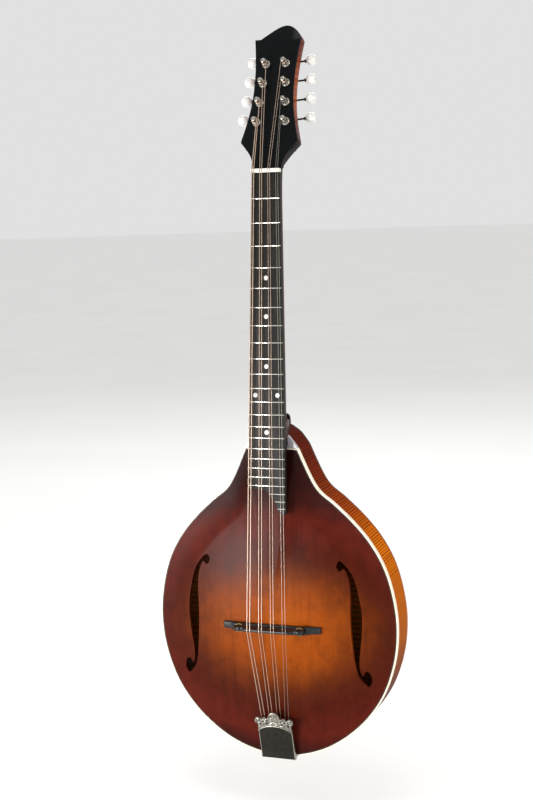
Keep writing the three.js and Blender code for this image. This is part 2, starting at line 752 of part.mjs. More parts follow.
const seatDepth = FRET_HEIGHT + BOARD_THICKNESS + SEAT_GAP;

function boardHalfAt(fromNut) {
  const share = fromNut / boardBassEnd;
  return (NUT_WIDTH + (BOARD_END_WIDTH - NUT_WIDTH) * share) / 2;
}

const roundShares = BLEND_SHARES.map((_, i) => {
  const turn = (Math.PI / 2) * (i / (BLEND_SHARES.length - 1));
  return [Math.cos(turn), Math.sin(turn)];
});

function blended(first, second, amount) {
  return first.map(([across, depth], i) => [
    across + (second[i][0] - across) * amount,
    depth + (second[i][1] - depth) * amount,
  ]);
}

// A section of the neck: shares of its half width and of its depth, from the treble edge round
function section(frame, half, front, depth, up, shares) {
  const right = shares.map(([across, down]) => [half * across, front + depth * down]);
  const left = mirrored(right).reverse().slice(1);
  return [...right, ...left].map(([across, down]) => inFrame(frame, across, down, up));
}

function lineAt(line, up) {
  const k = Math.max(1, line.findIndex(([, z]) => z >= up));
  const [x0, z0] = line[k - 1];
  const [x1, z1] = line[k];
  return x0 + ((x1 - x0) * (up - z0)) / (z1 - z0);
}

const headSide = HEAD_SIDE_SHARES.map(([across, up]) => [across * HEAD_HALF_WIDTH, up * HEAD_LENGTH]);
const headCrest = HEAD_CREST_SHARES.map(([across, up]) => [
  across * HEAD_HALF_WIDTH,
  HEAD_LENGTH + up * HEAD_CREST_RISE,
]);

function headOutline(start) {
  const side = [[lineAt(headSide, start), start], ...headSide.filter(([, z]) => z > start)];
  return [...side, ...headCrest, ...mirrored(side).reverse()];
}

const coreFront = VENEER_THICKNESS + SEAT_GAP;
const coreDepth = HEAD_THICKNESS - coreFront;
const headRings = [
  section(
    headFrame,
    lineAt(headSide, HEAD_BLEND_END) - BLEND_INSET,
    coreFront + BLEND_INSET,
    coreDepth - 2 * BLEND_INSET,
    HEAD_BLEND_END,
    BLEND_SHARES,
  ),
  section(
    headFrame,
    lineAt(headSide, HEAD_BLEND_START),
    coreFront,
    coreDepth,
    HEAD_BLEND_START,
    BLEND_SHARES,
  ),
];
const shaftRings = [
  section(
    neckFrame,
    boardHalfAt(0),
    seatDepth + BLEND_STEP,
    SHAFT_DEPTH - BLEND_STEP,
    NUT_THICKNESS + SEAT_GAP / 2,
    blended(roundShares, BLEND_SHARES, 0.5),
  ),
  section(
    neckFrame,
    boardHalfAt(0),
    seatDepth,
    SHAFT_DEPTH,
    NUT_THICKNESS - SEAT_GAP / 2,
    blended(roundShares, BLEND_SHARES, 0.4),
  ),
  section(
    neckFrame,
    boardHalfAt(SHAFT_LEVEL_FROM_NUT),
    seatDepth,
    SHAFT_DEPTH,
    -SHAFT_LEVEL_FROM_NUT,
    roundShares,
  ),
  section(
    neckFrame,
    boardHalfAt(heelTop),
    seatDepth,
    SHAFT_DEPTH_AT_BODY,
    -heelTop,
    roundShares,
  ),
];

function heelRing(fromNut, growth) {
  const half = boardHalfAt(fromNut);
  const full = (ribBack - inFrame(neckFrame, 0, seatDepth, -fromNut).y) / Math.cos(NECK_ANGLE);
  const shares = [...HEEL_SHARES, [HEEL_HALF_WIDTH / half, 1], [0, 1]];
  const depth = SHAFT_DEPTH_AT_BODY + (full - SHAFT_DEPTH_AT_BODY) * growth;
  const blend = blended(roundShares, shares, growth);
  return section(neckFrame, half, seatDepth, depth, -fromNut, blend);
}

const heelRings = HEEL_STEP_SHARES.map((share) => heelRing(
  heelTop + HEEL_SWEEP * share,
  1 - Math.sqrt(1 - share * share),
));
const rimCutter = slab(inset(rimLoop, -SEAT_GAP), -TONGUE_OVER_RIM, RIM_DEPTH + CUT_OVERRUN);
const shaft = cut(
  loft([...headRings, ...shaftRings, ...heelRings, heelRing(heelTop + HEEL_DRAWN, 1)]),
  rimCutter,
);

const tongue = loft([
  [heelTop + TONGUE_ROOT, TONGUE_DEPTH],
  [bodyJoint + TONGUE_LEVEL, TONGUE_DEPTH],
  [boardBassEnd - TONGUE_SHORT, TONGUE_END_DEPTH],
].map(([fromNut, depth]) => {
  const half = boardHalfAt(fromNut) - TONGUE_INSET;
  return [
    inFrame(neckFrame, -half, seatDepth, -fromNut),
    inFrame(neckFrame, half, seatDepth, -fromNut),
    inFrame(neckFrame, half, seatDepth + depth, -fromNut),
    inFrame(neckFrame, -half, seatDepth + depth, -fromNut),
  ];
}));

const tenon = block(
  [-TENON_HALF_WIDTH, TENON_HALF_WIDTH],
  [TENON_FRONT, TENON_BACK],
  [shoulderTop - TENON_LENGTH, shoulderTop + TENON_IN_HEEL],
);
const headCore = slab(headOutline(HEAD_CORE_START), coreFront, HEAD_THICKNESS);
const rodSlot = block(
  [-ROD_WIDTH / 2 - SEAT_GAP, ROD_WIDTH / 2 + SEAT_GAP],
  [seatDepth - CUT_OVERRUN, seatDepth + ROD_DEPTH + 2 * SEAT_GAP],
  [-rodEnd - SEAT_GAP, -ROD_START + SEAT_GAP],
);

// Tuner columns: two frames on the headstock, z along the column, x across it

const columnTilt = Math.asin(
  (FIRST_POST_SPREAD - LAST_POST_SPREAD) / 2 / ((COURSES - 1) * POST_PITCH),
);
const boreRadius = (POST_RADIUS + RUN_GAP) / Math.cos(Math.PI / BORE_SIDES);
const columns = [-1, 1].map((side) => ({
  side,
  name: side < 0 ? 'bass' : 'treble',
  frame: new THREE.Matrix4()
    .makeRotationY(-side * columnTilt)
    .setPosition((side * FIRST_POST_SPREAD) / 2, 0, FIRST_POST),
}));
const postUps = Array.from({ length: COURSES }, (_, i) => i * POST_PITCH);

function columnBores(column, front, back) {
  return postUps.map((up) => pin(boreRadius, front, back, 0, up, BORE_SIDES)
    .applyMatrix4(column.frame));
}

const headBores = columns.flatMap(
  (column) => columnBores(column, -CUT_OVERRUN, HEAD_THICKNESS + CUT_OVERRUN),
);
const neck = cut(
  join(shaft, tongue, tenon, headCore.applyMatrix4(headFrame)),
  rodSlot.applyMatrix4(neckFrame),
  ...headBores.map((bore) => bore.clone().applyMatrix4(headFrame)),
);
add('neck', neck, materials.maple);

// Everything on the neck is drawn in the neck's own frame: y into the neck, z towards the head

const neckGroup = frameGroup(neckFrame);
const headGroup = frameGroup(headFrame);

add('truss_rod', block(
  [-ROD_WIDTH / 2, ROD_WIDTH / 2],
  [seatDepth + SEAT_GAP, seatDepth + SEAT_GAP + ROD_DEPTH],
  [-rodEnd, -ROD_START],
), materials.steel, neckGroup);

const endHalf = boardHalfAt(boardBassEnd);
const endRun = boardTip - boardBassEnd;
const cornerFromNut = boardBassEnd + BOARD_CORNER_SHARE * endRun;
const boardEnd = [
  ...BOARD_END_SHARES.map(([across, along]) => [across * endHalf, boardBassEnd + along * endRun]),
  [boardHalfAt(cornerFromNut), cornerFromNut],
];
const boardOutline = [
  [boardHalfAt(0), 0],
  [-boardHalfAt(0), 0],
  [-endHalf, boardBassEnd],
  ...boardEnd,
].map(([across, fromNut]) => [across, -fromNut]);

// The bass end of a fret, which moves over where the board's end is cut away
function fretStart(fromNut) {
  if (fromNut < boardBassEnd) return -boardHalfAt(fromNut);
  return lineAt(boardEnd, fromNut);
}

const frets = Array.from({ length: FRET_COUNT }, (_, i) => {
  const fromNut = STRING_LENGTH * (1 - 2 ** (-(i + 1) / 12));
  const foot = FRET_WIDTH / 2;
  const crown = foot * FRET_CROWN_SHARE;
  const ends = [fretStart(fromNut) + FRET_INSET, boardHalfAt(fromNut) - FRET_INSET];
  return loft(ends.map((across) => [
    new THREE.Vector3(across, FRET_HEIGHT + FRET_SINK, foot - fromNut),
    new THREE.Vector3(across, FRET_HEIGHT + FRET_SINK, -foot - fromNut),
    new THREE.Vector3(across, 0, -crown - fromNut),
    new THREE.Vector3(across, 0, crown - fromNut),
  ]));
});
add('fingerboard', join(
  slab(boardOutline, FRET_HEIGHT, FRET_HEIGHT + BOARD_THICKNESS),
  ...frets,
), materials.ebony, neckGroup);

add('nut', block(
  [-boardHalfAt(0), boardHalfAt(0)],
  [-NUT_RISE, FRET_HEIGHT + BOARD_THICKNESS],
  [SEAT_GAP, NUT_THICKNESS - SEAT_GAP / 2],
), materials.bone, neckGroup);

add('headstock_veneer', cut(
  slab(headOutline(VENEER_START), 0, VENEER_THICKNESS),
  ...headBores,
), materials.blackLacquer, headGroup);

// Tuners

const plateFront = HEAD_THICKNESS + SEAT_GAP;
const plateBack = plateFront + PLATE_THICKNESS;
const wormRise = GEAR_RADIUS + WORM_AIR + WORM_RADIUS;
const gearFront = WORM_DEPTH - GEAR_THICKNESS / 2;
const gearBack = WORM_DEPTH + GEAR_THICKNESS / 2;
const earHole = (SHAFT_RADIUS + RUN_GAP) / Math.cos(Math.PI / WORM_SIDES);

// A turned piece on the depth axis: [radius, depth] points from one end on the axis to the other
function turned(profile, sides) {
  const line = profile.map(([radius, along]) => new THREE.Vector2(radius, along));
  return new THREE.LatheGeometry(line, sides);
}

function postGeometry() {
  const body = turned([
    [0, -POST_HEIGHT],
    [POST_RADIUS - POST_CHAMFER, -POST_HEIGHT],
    [POST_RADIUS, -POST_HEIGHT + POST_CHAMFER],
    [POST_RADIUS, -POST_WAIST_TOP - POST_CHAMFER],
    [POST_WAIST_RADIUS, -POST_WAIST_TOP],
    [POST_WAIST_RADIUS, -POST_WAIST_FOOT],
    [POST_RADIUS, -POST_WAIST_FOOT + POST_CHAMFER],
    [POST_RADIUS, gearFront + POST_CHAMFER],
    [POST_SCREW_RADIUS, gearFront + POST_CHAMFER],
    [POST_SCREW_RADIUS, gearBack + POST_SCREW_HEIGHT],
    [0, gearBack + POST_SCREW_HEIGHT],
  ], POST_SIDES);
  const teeth = Array.from({ length: 2 * GEAR_TEETH }, (_, i) => {
    const radius = i % 2 ? GEAR_RADIUS - GEAR_TOOTH : GEAR_RADIUS;
    const turn = (Math.PI * i) / GEAR_TEETH;
    return [radius * Math.cos(turn), radius * Math.sin(turn)];
  });
  return join(body, slab(teeth, gearFront, gearBack));
}

// Worm and shaft, along x, with the thumb's end outwards
function wormGeometry(side) {
  const shaftEnd = BUTTON_REACH - BUTTON_THICKNESS / 2 - SEAT_GAP;
  const far = EAR_INNER + EAR_THICKNESS + SEAT_GAP;
  return turned([
    [0, -far],
    [SHAFT_RADIUS, -far],
    [SHAFT_RADIUS, -WORM_LENGTH / 2],
    [WORM_RADIUS, -WORM_LENGTH / 2],
    [WORM_RADIUS, WORM_LENGTH / 2],
    [SHAFT_RADIUS, WORM_LENGTH / 2],
    [SHAFT_RADIUS, shaftEnd - COLLAR_LENGTH],
    [COLLAR_RADIUS, shaftEnd - COLLAR_LENGTH],
    [COLLAR_RADIUS, shaftEnd],
    [0, shaftEnd],
  ], WORM_SIDES).rotateZ(-side * Math.PI / 2);
}

function buttonGeometry(side) {
  const profile = BUTTON_SHARES.map(([across, along]) => [
    (across * BUTTON_DIAMETER) / 2,
    (along * BUTTON_THICKNESS) / 2,
  ]);
  return turned([[0, -BUTTON_THICKNESS / 2], ...profile, [0, BUTTON_THICKNESS / 2]], BUTTON_SIDES)
    .rotateZ(-side * Math.PI / 2)
    .translate(side * BUTTON_REACH, 0, 0);
}

function tunerPlate(column) {
  const length = postUps.at(-1) + wormRise + EAR_WIDTH / 2 + EAR_MARGIN;
  const sheet = block(
    [-PLATE_HALF_WIDTH, PLATE_HALF_WIDTH],
    [plateFront, plateBack],
    [-PLATE_OVERHANG, length],
  );
  const earBack = WORM_DEPTH + SHAFT_RADIUS + EAR_MARGIN;
  const ears = postUps.flatMap((up) => [-1, 1].map((hand) => {
    const edges = [hand * EAR_INNER, hand * (EAR_INNER + EAR_THICKNESS)].sort((a, b) => a - b);
    const middle = up + wormRise;
    return block(
      edges,
      [plateBack - PLATE_THICKNESS / 2, earBack],
      [middle - EAR_WIDTH / 2, middle + EAR_WIDTH / 2],
    );
  }));
  const shaftHoles = postUps.map((up) => new THREE.CylinderGeometry(
    earHole,
    earHole,
    2 * (EAR_INNER + EAR_THICKNESS + CUT_OVERRUN),
    WORM_SIDES,
  ).rotateZ(Math.PI / 2).translate(0, WORM_DEPTH, up + wormRise));
  const postHoles = postUps.map((up) => pin(
    boreRadius,
    plateFront - CUT_OVERRUN,
    plateBack + CUT_OVERRUN,
    0,
    up,
    BORE_SIDES,
  ));
  return cut(join(sheet, ...ears), ...shaftHoles, ...postHoles);
}

// String 1 is the lowest bass string; its post is the one nearest the nut
function stringOfPost(column, i) {
  return column.side < 0 ? i + 1 : STRING_DIAMETERS.length - i;
}

const posts = [];
columns.forEach((column) => {
  const group = frameGroup(column.frame, headGroup);
  add(`tuner_plate_${column.name}`, tunerPlate(column), materials.nickel, group);
  postUps.forEach((up, i) => {
    const number = stringOfPost(column, i);
    add(`post_${number}`, postGeometry(), materials.nickel, group).position.set(0, 0, up);
    const worm = add(`worm_shaft_${number}`, wormGeometry(column.side), materials.nickel, group);
    worm.position.set(0, WORM_DEPTH, up + wormRise);
    const button = add(`button_${number}`, buttonGeometry(column.side), materials.pearloid, group);
    button.position.copy(worm.position);
    posts[number - 1] = { side: column.side, at: new THREE.Vector3(0, 0, up).applyMatrix4(column.frame) };
  });
});

// Bridge

const crestPlace = inFrame(neckFrame, 0, -SADDLE_RISE, -STRING_LENGTH - COMPENSATION);
const saddleCrest = -crestPlace.y;
const bridgeUp = crestPlace.z;
const bridgeSpan = [bridgeUp - BRIDGE_THICKNESS / 2, bridgeUp + BRIDGE_THICKNESS / 2];

function footSeat(across) {
  return Math.min(...[...bridgeSpan, bridgeUp].map((up) => topFaceAt(across, up))) - SEAT_GAP;
}

const footShoulder = [
  [BRIDGE_HALF_LENGTH, footSeat(BRIDGE_HALF_LENGTH) - FOOT_END_RISE],
  [FOOT_WING, footSeat(FOOT_WING) - FOOT_WING_RISE],
  [FOOT_SHOULDER, -FOOT_TOP],
];

function footTopAt(across) {
  const out = Math.abs(across);
  for (let i = 1; i < footShoulder.length; i += 1) {
    const [[outer, low], [inner, high]] = [footShoulder[i - 1], footShoulder[i]];
    if (out > inner) return high + ((low - high) * (out - inner)) / (outer - inner);
  }
  return -FOOT_TOP;
}

const footPlaces = [-FOOT_WING, -FOOT_SHOULDER, FOOT_SHOULDER, FOOT_WING];
for (let share = -1; share <= 1; share += 1 / 8) footPlaces.push(share * BRIDGE_HALF_LENGTH);
footPlaces.sort((a, b) => a - b);
const studPlaces = [-STUD_SPREAD / 2, STUD_SPREAD / 2];
const footSolid = loft(footPlaces.map((across) => [
  [footSeat(across), bridgeSpan[0]],
  [footSeat(across), bridgeSpan[1]],
  [footTopAt(across), bridgeSpan[1]],
  [footTopAt(across), bridgeSpan[0]],
].map(([y, up]) => new THREE.Vector3(across, y, up))));
add('bridge_foot', cut(footSolid, ...studPlaces.map((across) => pin(
  STUD_RADIUS + SEAT_GAP,
  -FOOT_TOP - CUT_OVERRUN,
  -FOOT_TOP + STUD_SEAT + SEAT_GAP,
  across,
  bridgeUp,
  STUD_SIDES,
))), materials.ebony);

const saddleRise = saddleCrest - SADDLE_FOOT;
const saddleSide = SADDLE_OUTLINE_SHARES.map(([across, rise]) => [
  across * SADDLE_HALF_LENGTH,
  rise,
]);
const saddleOutline = [
  [-SADDLE_HALF_LENGTH, 0],
  [SADDLE_HALF_LENGTH, 0],
  ...saddleSide,
  ...mirrored(saddleSide.slice(0, -1)).reverse(),
];
const saddleSolid = loft([-1, 1].map((hand) => saddleOutline.map(([across, rise]) => {
  const thick = SADDLE_FOOT_THICKNESS + (SADDLE_CREST_THICKNESS - SADDLE_FOOT_THICKNESS) * rise;
  return new THREE.Vector3(across, -SADDLE_FOOT - rise * saddleRise, bridgeUp + (hand * thick) / 2);
})));
add('bridge_saddle', cut(saddleSolid, ...studPlaces.map((across) => pin(
  STUD_RADIUS + RUN_GAP,
  -STUD_TOP - STUD_HEADROOM,
  -SADDLE_FOOT + CUT_OVERRUN,
  across,
  bridgeUp,
  STUD_SIDES,
))), materials.ebony);

studPlaces.forEach((across, i) => {
  const name = i ? 'treble' : 'bass';
  const stud = pin(STUD_RADIUS, -STUD_TOP, -FOOT_TOP + STUD_SEAT, across, bridgeUp, STUD_SIDES);
  add(`bridge_stud_${name}`, stud, materials.brass);
  const wheelFront = -WHEEL_FOOT - WHEEL_THICKNESS;
  add(`thumbwheel_${name}`, cut(
    pin(WHEEL_RADIUS, wheelFront, -WHEEL_FOOT, across, bridgeUp, WHEEL_SIDES),
    pin(
      (STUD_RADIUS + RUN_GAP) / Math.cos(Math.PI / BORE_SIDES),
      wheelFront - CUT_OVERRUN,
      -WHEEL_FOOT + CUT_OVERRUN,
      across,
      bridgeUp,
      BORE_SIDES,
    ),
  ), materials.brass);
});

// Tailpiece, in its own frame: y into the body, z up the cover

const tailGroup = frameGroup(tailFrame);
const stringCount = STRING_DIAMETERS.length;
const tailPlaces = STRING_DIAMETERS.map((_, i) => (i - (stringCount - 1) / 2) * TAIL_STRING_SPACING);
const hookFront = COVER_THICKNESS + SEAT_GAP;
const tailBracket = block(
  [-TONGUE_HALF_WIDTH, TONGUE_HALF_WIDTH],
  [-TONGUE_BEND, TAIL_PLATE_LENGTH],
  [-SEAT_GAP - TONGUE_PLATE, -SEAT_GAP],
).applyMatrix4(tailFrame.clone().invert());
const hooks = tailPlaces.flatMap((across) => {
  const width = [across - HOOK_WIDTH / 2, across + HOOK_WIDTH / 2];
  return [
    block(width, [hookFront, TONGUE_PLATE_DEPTH + TONGUE_PLATE / 2], [HOOK_UP, HOOK_UP + HOOK_THICKNESS]),
    block(
      width,
      [hookFront, hookFront + HOOK_LIP_THICKNESS],
      [HOOK_UP - HOOK_LIP, HOOK_UP + HOOK_THICKNESS / 2],
    ),
  ];
});
add('tailpiece_base', join(
  block(
    [-TONGUE_HALF_WIDTH, TONGUE_HALF_WIDTH],
    [TONGUE_PLATE_DEPTH, TONGUE_PLATE_DEPTH + TONGUE_PLATE],
    [-TONGUE_BEND, TONGUE_PLATE_LENGTH],
  ),
  tailBracket,
  ...hooks,
), materials.nickel, tailGroup);

const crestSide = CREST_SHARES.map(([across, up]) => [
  across * CREST_HALF_WIDTH,
  COVER_LENGTH + up * CREST_LENGTH,
]);
const coverOutline = [
  [-COVER_HALF_WIDTH, 0],
  [COVER_HALF_WIDTH, 0],
  [COVER_HALF_WIDTH, COVER_LENGTH],
  ...crestSide,
  ...mirrored(crestSide.slice(0, -1)).reverse(),
  [-COVER_HALF_WIDTH, COVER_LENGTH],
];
add('tailpiece_cover', join(
  slab(coverOutline, 0, COVER_THICKNESS),
  ...[-1, 1].map((side) => {
    const edges = [side * (COVER_HALF_WIDTH - COVER_THICKNESS), side * COVER_HALF_WIDTH];
    const flange = [COVER_THICKNESS / 2, COVER_FLANGE_DEPTH];
    return block(edges.sort((a, b) => a - b), flange, [0, COVER_LENGTH]);
  }),
), materials.nickel, tailGroup);

// Strings

// A tube of one radius along a line of points, its rings mitred at the bends
function tubeAlong(points, radius, sides) {
  const directions = points.slice(1).map((point, i) => point.clone().sub(points[i]).normalize());
  let side = new THREE.Vector3(1, 0, 0);
  side.addScaledVector(directions[0], -side.dot(directions[0])).normalize();
  const rings = points.map((point, i) => {
    const into = directions[Math.max(0, i - 1)];
    const out = directions[Math.min(directions.length - 1, i)];
    const along = into.clone().add(out).normalize();
    side.addScaledVector(into, -side.dot(into)).normalize();
    const other = into.clone().cross(side);
    const ring = Array.from({ length: sides }, (_, k) => {
      const turn = (2 * Math.PI * k) / sides;
      const spoke = side.clone().multiplyScalar(radius * Math.cos(turn))
        .addScaledVector(other, radius * Math.sin(turn));
      spoke.addScaledVector(into, -spoke.dot(along) / into.dot(along));
      return point.clone().add(spoke);
    });
    side = side.clone().addScaledVector(out, -side.dot(out)).normalize();
    return ring;
  });
  return loft(rings);
}

// How near a winding comes to itself: between points half a turn or more apart, less its diameter
function leastGap(points, diameter, apart) {
  let least = Infinity;
  points.forEach((point, i) => {
    for (let k = i + apart; k < points.length; k += 1) {
      least = Math.min(least, point.distanceTo(points[k]) - diameter);
    }
  });
  return least;
}

function finely(points, parts) {
  return points.slice(1).flatMap((point, i) => Array.from(
    { length: parts },
    (_, k) => points[i].clone().lerp(point, k / parts),
  ));
}

const courseSpread = (spread, pairGap, i) => {
  const course = Math.floor(i / 2);
  const middle = (course / (COURSES - 1) - 0.5) * spread;
  return middle + (i % 2 ? pairGap / 2 : -pairGap / 2);
};

const intoHead = headFrame.clone().invert().multiply(neckFrame);
STRING_DIAMETERS.forEach((diameter, i) => {
  const radius = diameter / 2;
  const atBridge = courseSpread(SADDLE_COURSE_SPREAD, SADDLE_PAIR_GAP, i);
  const atNut = courseSpread(NUT_COURSE_SPREAD, NUT_PAIR_GAP, i);
  const crest = -saddleCrest - STRING_LIFT - radius;
  const lip = SADDLE_CREST_THICKNESS / 2 + STRING_LIFT;
  const nutDepth = -NUT_RISE - STRING_LIFT - radius;
  const nutExit = inFrame(intoHead, atNut, nutDepth, NUT_THICKNESS + STRING_LIFT);
  const { side, at } = posts[i];
  const coilRadius = (POST_WAIST_RADIUS + POST_AIR + radius) / Math.cos(Math.PI / WINDING_STEPS);
  const pitch = diameter + WINDING_AIR;
  const away = Math.hypot(nutExit.x - at.x, nutExit.z - at.z);
  const bearing = Math.atan2(nutExit.z - at.z, nutExit.x - at.x);
  const start = bearing - side * Math.acos(coilRadius / away);
  const coil = Array.from({ length: WINDING_TURNS * WINDING_STEPS + 1 }, (_, k) => {
    const turns = k / WINDING_STEPS;
    const turn = start - side * 2 * Math.PI * turns;
    return new THREE.Vector3(
      at.x + coilRadius * Math.cos(turn),
      -(WINDING_TOP - pitch * turns),
      at.z + coilRadius * Math.sin(turn),
    );
  });
  const parts = 6;
  const lead = [coil[0].clone().lerp(nutExit, 0.2), ...coil];
  const gap = leastGap(finely(lead, parts), diameter, (WINDING_STEPS / 2) * parts);
  console.log(`string_${i + 1} winding: ${WINDING_TURNS} turns, least gap ${gap.toFixed(2)} mm`);
  const points = [
    inFrame(tailFrame, tailPlaces[i], STRING_AT_HOOK, HOOK_UP + HOOK_THICKNESS + SEAT_GAP),
    new THREE.Vector3(atBridge, crest, bridgeUp - lip),
    new THREE.Vector3(atBridge, crest, bridgeUp + lip),
    inFrame(neckFrame, atNut, nutDepth, SEAT_GAP - STRING_LIFT),
    ...[nutExit, ...coil].map((point) => point.applyMatrix4(headFrame)),
  ];
  const wound = i < 6;
  add(`string_${i + 1}`, tubeAlong(points, radius, STRING_SIDES), wound ? materials.bronze : materials.steel);
});

// The finished part: the layout moved so that the hanger's hold is the origin

const hanger = inFrame(headFrame, 0, HANGER_DEPTH, HANGER_ABOVE_NUT);
layout.position.copy(hanger.negate());
const part = new THREE.Group();
part.name = 'octave_mandolin';
part.add(layout);

export default part;
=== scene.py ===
"""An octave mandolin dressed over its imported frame, laid out as a Blender add-on.

Each piece is shaped in millimetres in the frame it belongs to (body, neck, headstock, tuner column
or tailpiece: x across, y into the instrument, z towards the headstock) and is then settled into the
row frame in metres.
"""

import math

import bpy
from mathutils import Matrix, Vector


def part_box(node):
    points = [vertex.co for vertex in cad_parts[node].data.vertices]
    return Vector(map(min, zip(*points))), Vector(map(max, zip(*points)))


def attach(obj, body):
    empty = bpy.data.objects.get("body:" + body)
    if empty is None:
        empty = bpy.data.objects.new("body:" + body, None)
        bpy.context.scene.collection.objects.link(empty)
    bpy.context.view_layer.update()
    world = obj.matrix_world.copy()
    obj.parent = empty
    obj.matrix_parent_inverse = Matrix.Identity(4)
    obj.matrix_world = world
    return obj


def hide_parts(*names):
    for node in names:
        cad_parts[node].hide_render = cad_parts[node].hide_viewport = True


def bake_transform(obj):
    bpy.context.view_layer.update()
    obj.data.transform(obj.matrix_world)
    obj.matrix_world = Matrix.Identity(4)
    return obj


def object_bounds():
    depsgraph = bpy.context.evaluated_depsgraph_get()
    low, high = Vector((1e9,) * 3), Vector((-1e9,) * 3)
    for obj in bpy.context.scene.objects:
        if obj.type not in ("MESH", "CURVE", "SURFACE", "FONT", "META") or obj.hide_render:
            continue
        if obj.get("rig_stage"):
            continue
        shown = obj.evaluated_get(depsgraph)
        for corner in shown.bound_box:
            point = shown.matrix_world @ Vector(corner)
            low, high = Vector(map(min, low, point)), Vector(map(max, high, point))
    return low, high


bl_info = {
    "name": "Octave mandolin",
    "version": (1, 0, 0),
    "blender": (4, 5, 0),
    "location": "View3D > Sidebar > Mandolin",
    "description": "Builds the pieces and finishes of an octave mandolin round its packed frame",
    "category": "Add Mesh",
}

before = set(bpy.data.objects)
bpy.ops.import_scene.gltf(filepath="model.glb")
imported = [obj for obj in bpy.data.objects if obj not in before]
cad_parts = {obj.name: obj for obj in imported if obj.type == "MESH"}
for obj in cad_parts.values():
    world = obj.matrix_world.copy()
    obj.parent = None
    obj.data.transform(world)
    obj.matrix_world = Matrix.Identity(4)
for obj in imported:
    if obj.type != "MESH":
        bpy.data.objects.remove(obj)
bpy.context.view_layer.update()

# Sizes in millimetres, as in the part's source, but for what only the scene has, and for the
# bridge foot, the bridge wheels and the tuner buttons, which are fitted closer to the photo
MM = 0.001
STRING_LENGTH = 508
COMPENSATION = 4.9
STRING_DIAMETERS = (1.12, 1.12, 0.8, 0.8, 0.56, 0.56, 0.34, 0.34)
WOUND_STRINGS = 6
NUT_SPREAD, NUT_PAIR = 27.8, 2.3
SADDLE_SPREAD, SADDLE_PAIR = 42.3, 3.5
TAIL_SPACING = 4.3
STRING_LIFT = 0.12
WINDING_TURNS, WINDING_AIR, WINDING_TOP = 3, 0.62, 8.4
NUT_SLOT_AIR, SADDLE_SLOT_AIR = 0.14, 0.12
# Units of the wave texture in a metre of wound string
WINDINGS = 1670

BODY_LENGTH, HALF_WIDTH = 362, 143.6
NECK_END_HALF, SHOULDER_RISE = 31.7, 22.2
RIM_DEPTH, RIB_THICKNESS = 44.3, 2.3
ARCH_CENTRE = 185
TOP_ARCH, TOP_THICKNESS, TOP_EDGE = 16.4, 4.6, 5
BACK_ARCH, BACK_THICKNESS, BACK_EDGE = 14, 4.2, 4.5
RECURVE = 0.9
BUTTON_RISE, BUTTON_HALF = 11.3, 9.2
BINDING_WIDTH, BINDING_HEIGHT = 1.9, 5
LINE_OVERLAP, LINE_RISE, LINE_DEPTH = 0.5, 0.04, 1.5
EDGE_ROUNDING = 1.3
SEAT_GAP = 0.3
RIB_GAP, RIB_OVERLAP = 0.03, 0.1
BURST_ACROSS, BURST_UP, BURST_WIDE, BURST_TALL = 8, 157, 120, 81
OUTLINE_SHARES = (
    (0.35, 0.03), (0.643, 0.107), (0.854, 0.211), (0.967, 0.329), (1, 0.443), (0.971, 0.547),
    (0.902, 0.638), (0.793, 0.714), (0.657, 0.777), (0.513, 0.83), (0.363, 0.883),
)
SHOULDER_SHARES = ((0.877, 0.248), (0.685, 0.586), (0.448, 0.838), (0.3, 0.946))
F_HOLE_INNER, F_HOLE_FOOT, F_HOLE_WIDTH, F_HOLE_LENGTH = 76.2, 92.4, 37.2, 145.2
F_HOLE_SHARES = (
    (0.22, 0.939), (0.1, 0.916), (0, 0.944), (0, 0.968), (0.09, 1), (0.25, 0.972), (0.39, 0.927),
    (0.51, 0.875), (0.6, 0.803), (0.68, 0.713), (0.74, 0.624), (0.76, 0.534), (0.74, 0.431),
    (0.7, 0.335), (0.66, 0.252), (0.64, 0.194), (0.65, 0.145), (0.68, 0.109), (0.74, 0.088),
    (0.78, 0.118), (0.88, 0.125), (0.97, 0.1), (1, 0.055), (0.97, 0.025), (0.9, 0), (0.81, 0.015),
    (0.71, 0.043), (0.61, 0.083), (0.55, 0.136), (0.5, 0.208), (0.46, 0.298), (0.43, 0.397),
    (0.41, 0.5), (0.41, 0.603), (0.42, 0.7), (0.41, 0.779), (0.38, 0.844), (0.32, 0.898),
)

NECK_ANGLE, FRET_PLANE_RISE = math.radians(4.3), 15.5
BODY_JOINT = STRING_LENGTH * 0.6057
BOARD_BASS_END = STRING_LENGTH * 0.6939
BOARD_TIP = STRING_LENGTH * 0.75
NUT_WIDTH, BOARD_END_WIDTH = 33, 43.8
BOARD_END_SHARES = (
    (-0.18, 0), (0, 0.07), (0.18, 0.23), (0.41, 0.44), (0.55, 0.7), (0.685, 0.91), (0.868, 1),
)
BOARD_CORNER_SHARE = 0.947
FRET_HEIGHT, BOARD_THICKNESS, FRET_COUNT = 1, 5.5, 23
FRET_FOOT, FRET_INSET = 1.35, 0.25
HEEL_HALF = 8.9
NUT_THICKNESS, NUT_RISE, NUT_LIP = 4.4, 0.9, 0.5

